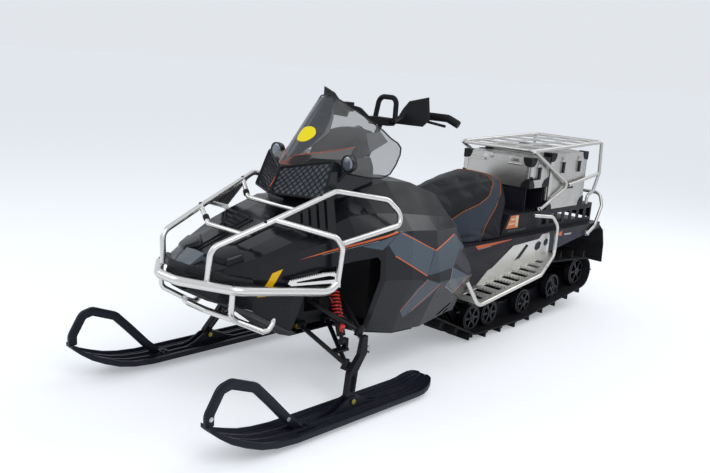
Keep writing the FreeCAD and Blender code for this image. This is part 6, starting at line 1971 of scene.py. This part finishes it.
@dataclass
class Running:
    """Track, wheels, tunnel, boards and tail."""

    shop: Workshop
    # Wheels: x, z and radius
    wheels: tuple[Place, ...] = ((-0.293, 0.118, 0.071), (-0.455, 0.118, 0.071), (-0.790, 0.118, 0.071),
                                 (-1.102, 0.118, 0.071), (-1.364, 0.222, 0.088))
    wheel_face_y: float = 0.207
    # Rim ring and hub: distance outwards, and radius as a share of the wheel's
    rim: tuple[Flat, ...] = ((0.0, 0.74), (0.0045, 0.75), (0.0045, 0.82), (0.0, 0.84))
    hub: tuple[Flat, ...] = ((0.0, 0.27), (0.008, 0.26), (0.008, 0.10), (0.010, 0.08))
    # Teeth rows on a board: first row's x, pitch, count of rows, and the innermost tooth's y
    tooth_rows: tuple[float, float, int, float] = (-0.114, -0.078, 8, 0.292)
    # Board's top: front edge as x and z, its length, its rise over that, and how deep a tooth stands in it
    board_top: tuple[float, ...] = (0.015, 0.3135, 0.865, 0.118, 0.012)

    def build(self) -> None:
        """Dresses the running gear."""
        shop = self.shop
        for node, finish in (("track", Finishes.RUBBER), ("slide_rails", Finishes.SHEET),
                             ("track_wheels", Finishes.WHEEL), ("drive_axle", Finishes.FRAME),
                             ("track_suspension", Finishes.ARM), ("tunnel", Finishes.TUNNEL),
                             ("running_boards", Finishes.BOARD), ("seat_base", Finishes.SIDE_COVER),
                             ("rear_case", Finishes.REAR_CASE), ("engine_block", Finishes.ENGINE),
                             ("rear_bumper", Finishes.RACK), ("snow_flap", Finishes.FLAP),
                             ("tail_lamp", Finishes.TAIL)):
            shop.dress(node, finish)
        self.spokes()
        self.board_teeth()

    def spokes(self) -> None:
        """Spokes, rim ring and hub on both outer faces of every wheel."""
        shop = self.shop
        meshes = []
        rims = Form()
        for x, z, radius in self.wheels:
            for side in (1, -1):
                spokes = shop.repeat(shop.patterns.spokes, bpy.data.meshes.new("spoke host"),
                                     Finishes.SPOKE, Count=6, Ring=radius * 0.50,
                                     Size=(radius * 0.52, 0.011, 0.004))
                turn = Matrix.Rotation(math.radians(90), 4, "X")
                spokes.transform(Matrix.Translation((x, side * self.wheel_face_y, z)) @ turn)
                meshes.append(spokes)
                centre = (x, side * (self.wheel_face_y - 0.002), z)
                for profile, sides in ((self.rim, 32), (self.hub, 20)):
                    rims.lathe(centre, (0, side, 0), [(out, radius * share) for out, share in profile],
                               sides)
        shop.put(joined(meshes, "wheel_spokes"), Body.CHASSIS)
        shop.add(rims, "wheel_rims", Finishes.SPOKE, 40)

    def board_teeth(self) -> None:
        """Grip teeth punched up between the slots of both running boards."""
        shop = self.shop
        host = bpy.data.meshes.new("tooth host")
        front, pitch, rows, inner = self.tooth_rows
        edge, height, length, rise, sunk = self.board_top
        meshes = []
        for i in range(rows):
            x = front + pitch * i
            z = height + (abs(x) - edge) / length * rise - sunk
            teeth = shop.repeat(shop.patterns.teeth, host, Finishes.BOARD, Count=7, Step=(0.0, 0.018, 0.0),
                                Size=(0.004, 0.009, 0.005))
            teeth.transform(Matrix.Translation((x, inner, z)))
            meshes.append(teeth)
        shop.put(mesh_piece("board_teeth", meshes, shop.finish(Finishes.BOARD), twin=True), Body.CHASSIS)


class Studio:
    """Camera, lamps and floor."""

    CAMERA: Place = (3.1106, 2.5210, 1.4001)
    YAW: float = -136.825
    PITCH: float = -12.366
    ROLL: float = 4.196
    FOCAL_PIXELS: float = 808.8
    FRAME: tuple[int, int] = (710, 473)
    SENSOR: float = 36.0
    FLOOR_REACH: float = 90.0
    FLOOR_GLOW: float = 0.34
    SKY: tuple[float, float, float, float] = (0.88, 0.92, 0.97, 1.0)
    SKY_STRENGTH: float = 0.60
    BACKDROP: tuple[float, float, float, float] = (0.76, 0.79, 0.83, 1.0)
    LAMPS = (("key", (2.5, 3.5, 4.5), 3.0, 95.0), ("fill", (3.5, -3.0, 3.5), 3.0, 40.0),
             ("back", (-3.5, 1.0, 4.0), 3.0, 50.0))

    def build(self) -> None:
        """Sets up the view."""
        self.camera()
        self.floor()
        self.light()

    def camera(self) -> None:
        """The camera at the photograph's place."""
        data = bpy.data.cameras.new("camera")
        data.sensor_fit = "HORIZONTAL"
        data.sensor_width = self.SENSOR
        data.lens = self.FOCAL_PIXELS * self.SENSOR / self.FRAME[0]
        data.clip_end = 100.0
        yaw, pitch, roll = (math.radians(a) for a in (self.YAW, self.PITCH, self.ROLL))
        ahead = Vector((math.cos(pitch) * math.cos(yaw), math.cos(pitch) * math.sin(yaw), math.sin(pitch)))
        right = ahead.cross(UP).normalized()
        up = right.cross(ahead)
        turned_right = right * math.cos(roll) + up * math.sin(roll)
        turned_up = up * math.cos(roll) - right * math.sin(roll)
        matrix = Matrix((turned_right, turned_up, -ahead)).transposed().to_4x4()
        matrix.translation = Vector(self.CAMERA)
        camera = bpy.data.objects.new("camera", data)
        camera.matrix_world = matrix
        bpy.context.scene.collection.objects.link(camera)
        bpy.context.scene.camera = camera

    def floor(self) -> None:
        """A wide pale floor that takes the shadow and is brightened for the eye alone."""
        mesh = bpy.data.meshes.new("floor")
        r = self.FLOOR_REACH
        mesh.from_pydata([(-r, -r, 0), (r, -r, 0), (r, r, 0), (-r, r, 0)], [], [(0, 1, 2, 3)])
        floor = bpy.data.objects.new("floor", mesh)
        bpy.context.scene.collection.objects.link(floor)
        material = bpy.data.materials.new("pale floor")
        material.use_nodes = True
        t = Tree(material.node_tree)
        t.fill(material.node_tree.nodes["Principled BSDF"], {
            "Base Color": (0.84, 0.85, 0.87, 1), "Roughness": 0.9, "Specular IOR Level": 0.1,
            "Emission Color": (0.90, 0.93, 0.97, 1),
            "Emission Strength": t.math("MULTIPLY", self.seen(t), self.FLOOR_GLOW)})
        mesh.materials.append(material)

    @staticmethod
    def seen(t: Tree) -> bpy.types.NodeSocket:
        """A mask that is 1 for what the camera sees directly, in gloss or through glass."""
        path = t.node("ShaderNodeLightPath", {})
        gloss = t.math("MAXIMUM", path["Is Camera Ray"], path["Is Glossy Ray"])
        return t.math("MAXIMUM", gloss, path["Is Transmission Ray"])

    def light(self) -> None:
        """Plain soft light: a bright sky and three large lamps."""
        world = bpy.data.worlds.new("sky")
        bpy.context.scene.world = world
        world.use_nodes = True
        nodes = world.node_tree.nodes
        t = Tree(world.node_tree)
        t.fill(nodes["Background"], {"Color": self.SKY, "Strength": self.SKY_STRENGTH})
        backdrop = t.node("ShaderNodeBackground", {"Color": self.BACKDROP, "Strength": 1.0})
        mix = t.node("ShaderNodeMixShader", {
            "Fac": self.seen(t), 1: nodes["Background"].outputs["Background"], 2: backdrop["Background"]})
        t.fill(nodes["World Output"], {"Surface": mix["Shader"]})
        for name, place, size, power in self.LAMPS:
            data = bpy.data.lights.new(name, "AREA")
            data.size = size
            data.energy = power
            lamp = bpy.data.objects.new(name, data)
            lamp.location = place
            lamp.rotation_euler = (Vector((0, 0, 0.4)) - Vector(place)).to_track_quat("-Z", "Y").to_euler()
            bpy.context.scene.collection.objects.link(lamp)


def main() -> None:
    """Builds the whole dress in order."""
    logging.basicConfig(level=logging.INFO, format="%(message)s")
    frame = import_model()
    Studio().build()
    shop = Workshop(frame)
    BodyShell(shop).build()
    Front(shop).build()
    Bumper(shop).build()
    Steering(shop).build()
    Seat(shop).build()
    Luggage(shop).build()
    Running(shop).build()
    bpy.context.scene.view_settings.view_transform = "Standard"
    bpy.context.view_layer.update()
    LOG.info("%d pieces added", shop.count)


if __name__ == "__main__":
    main()
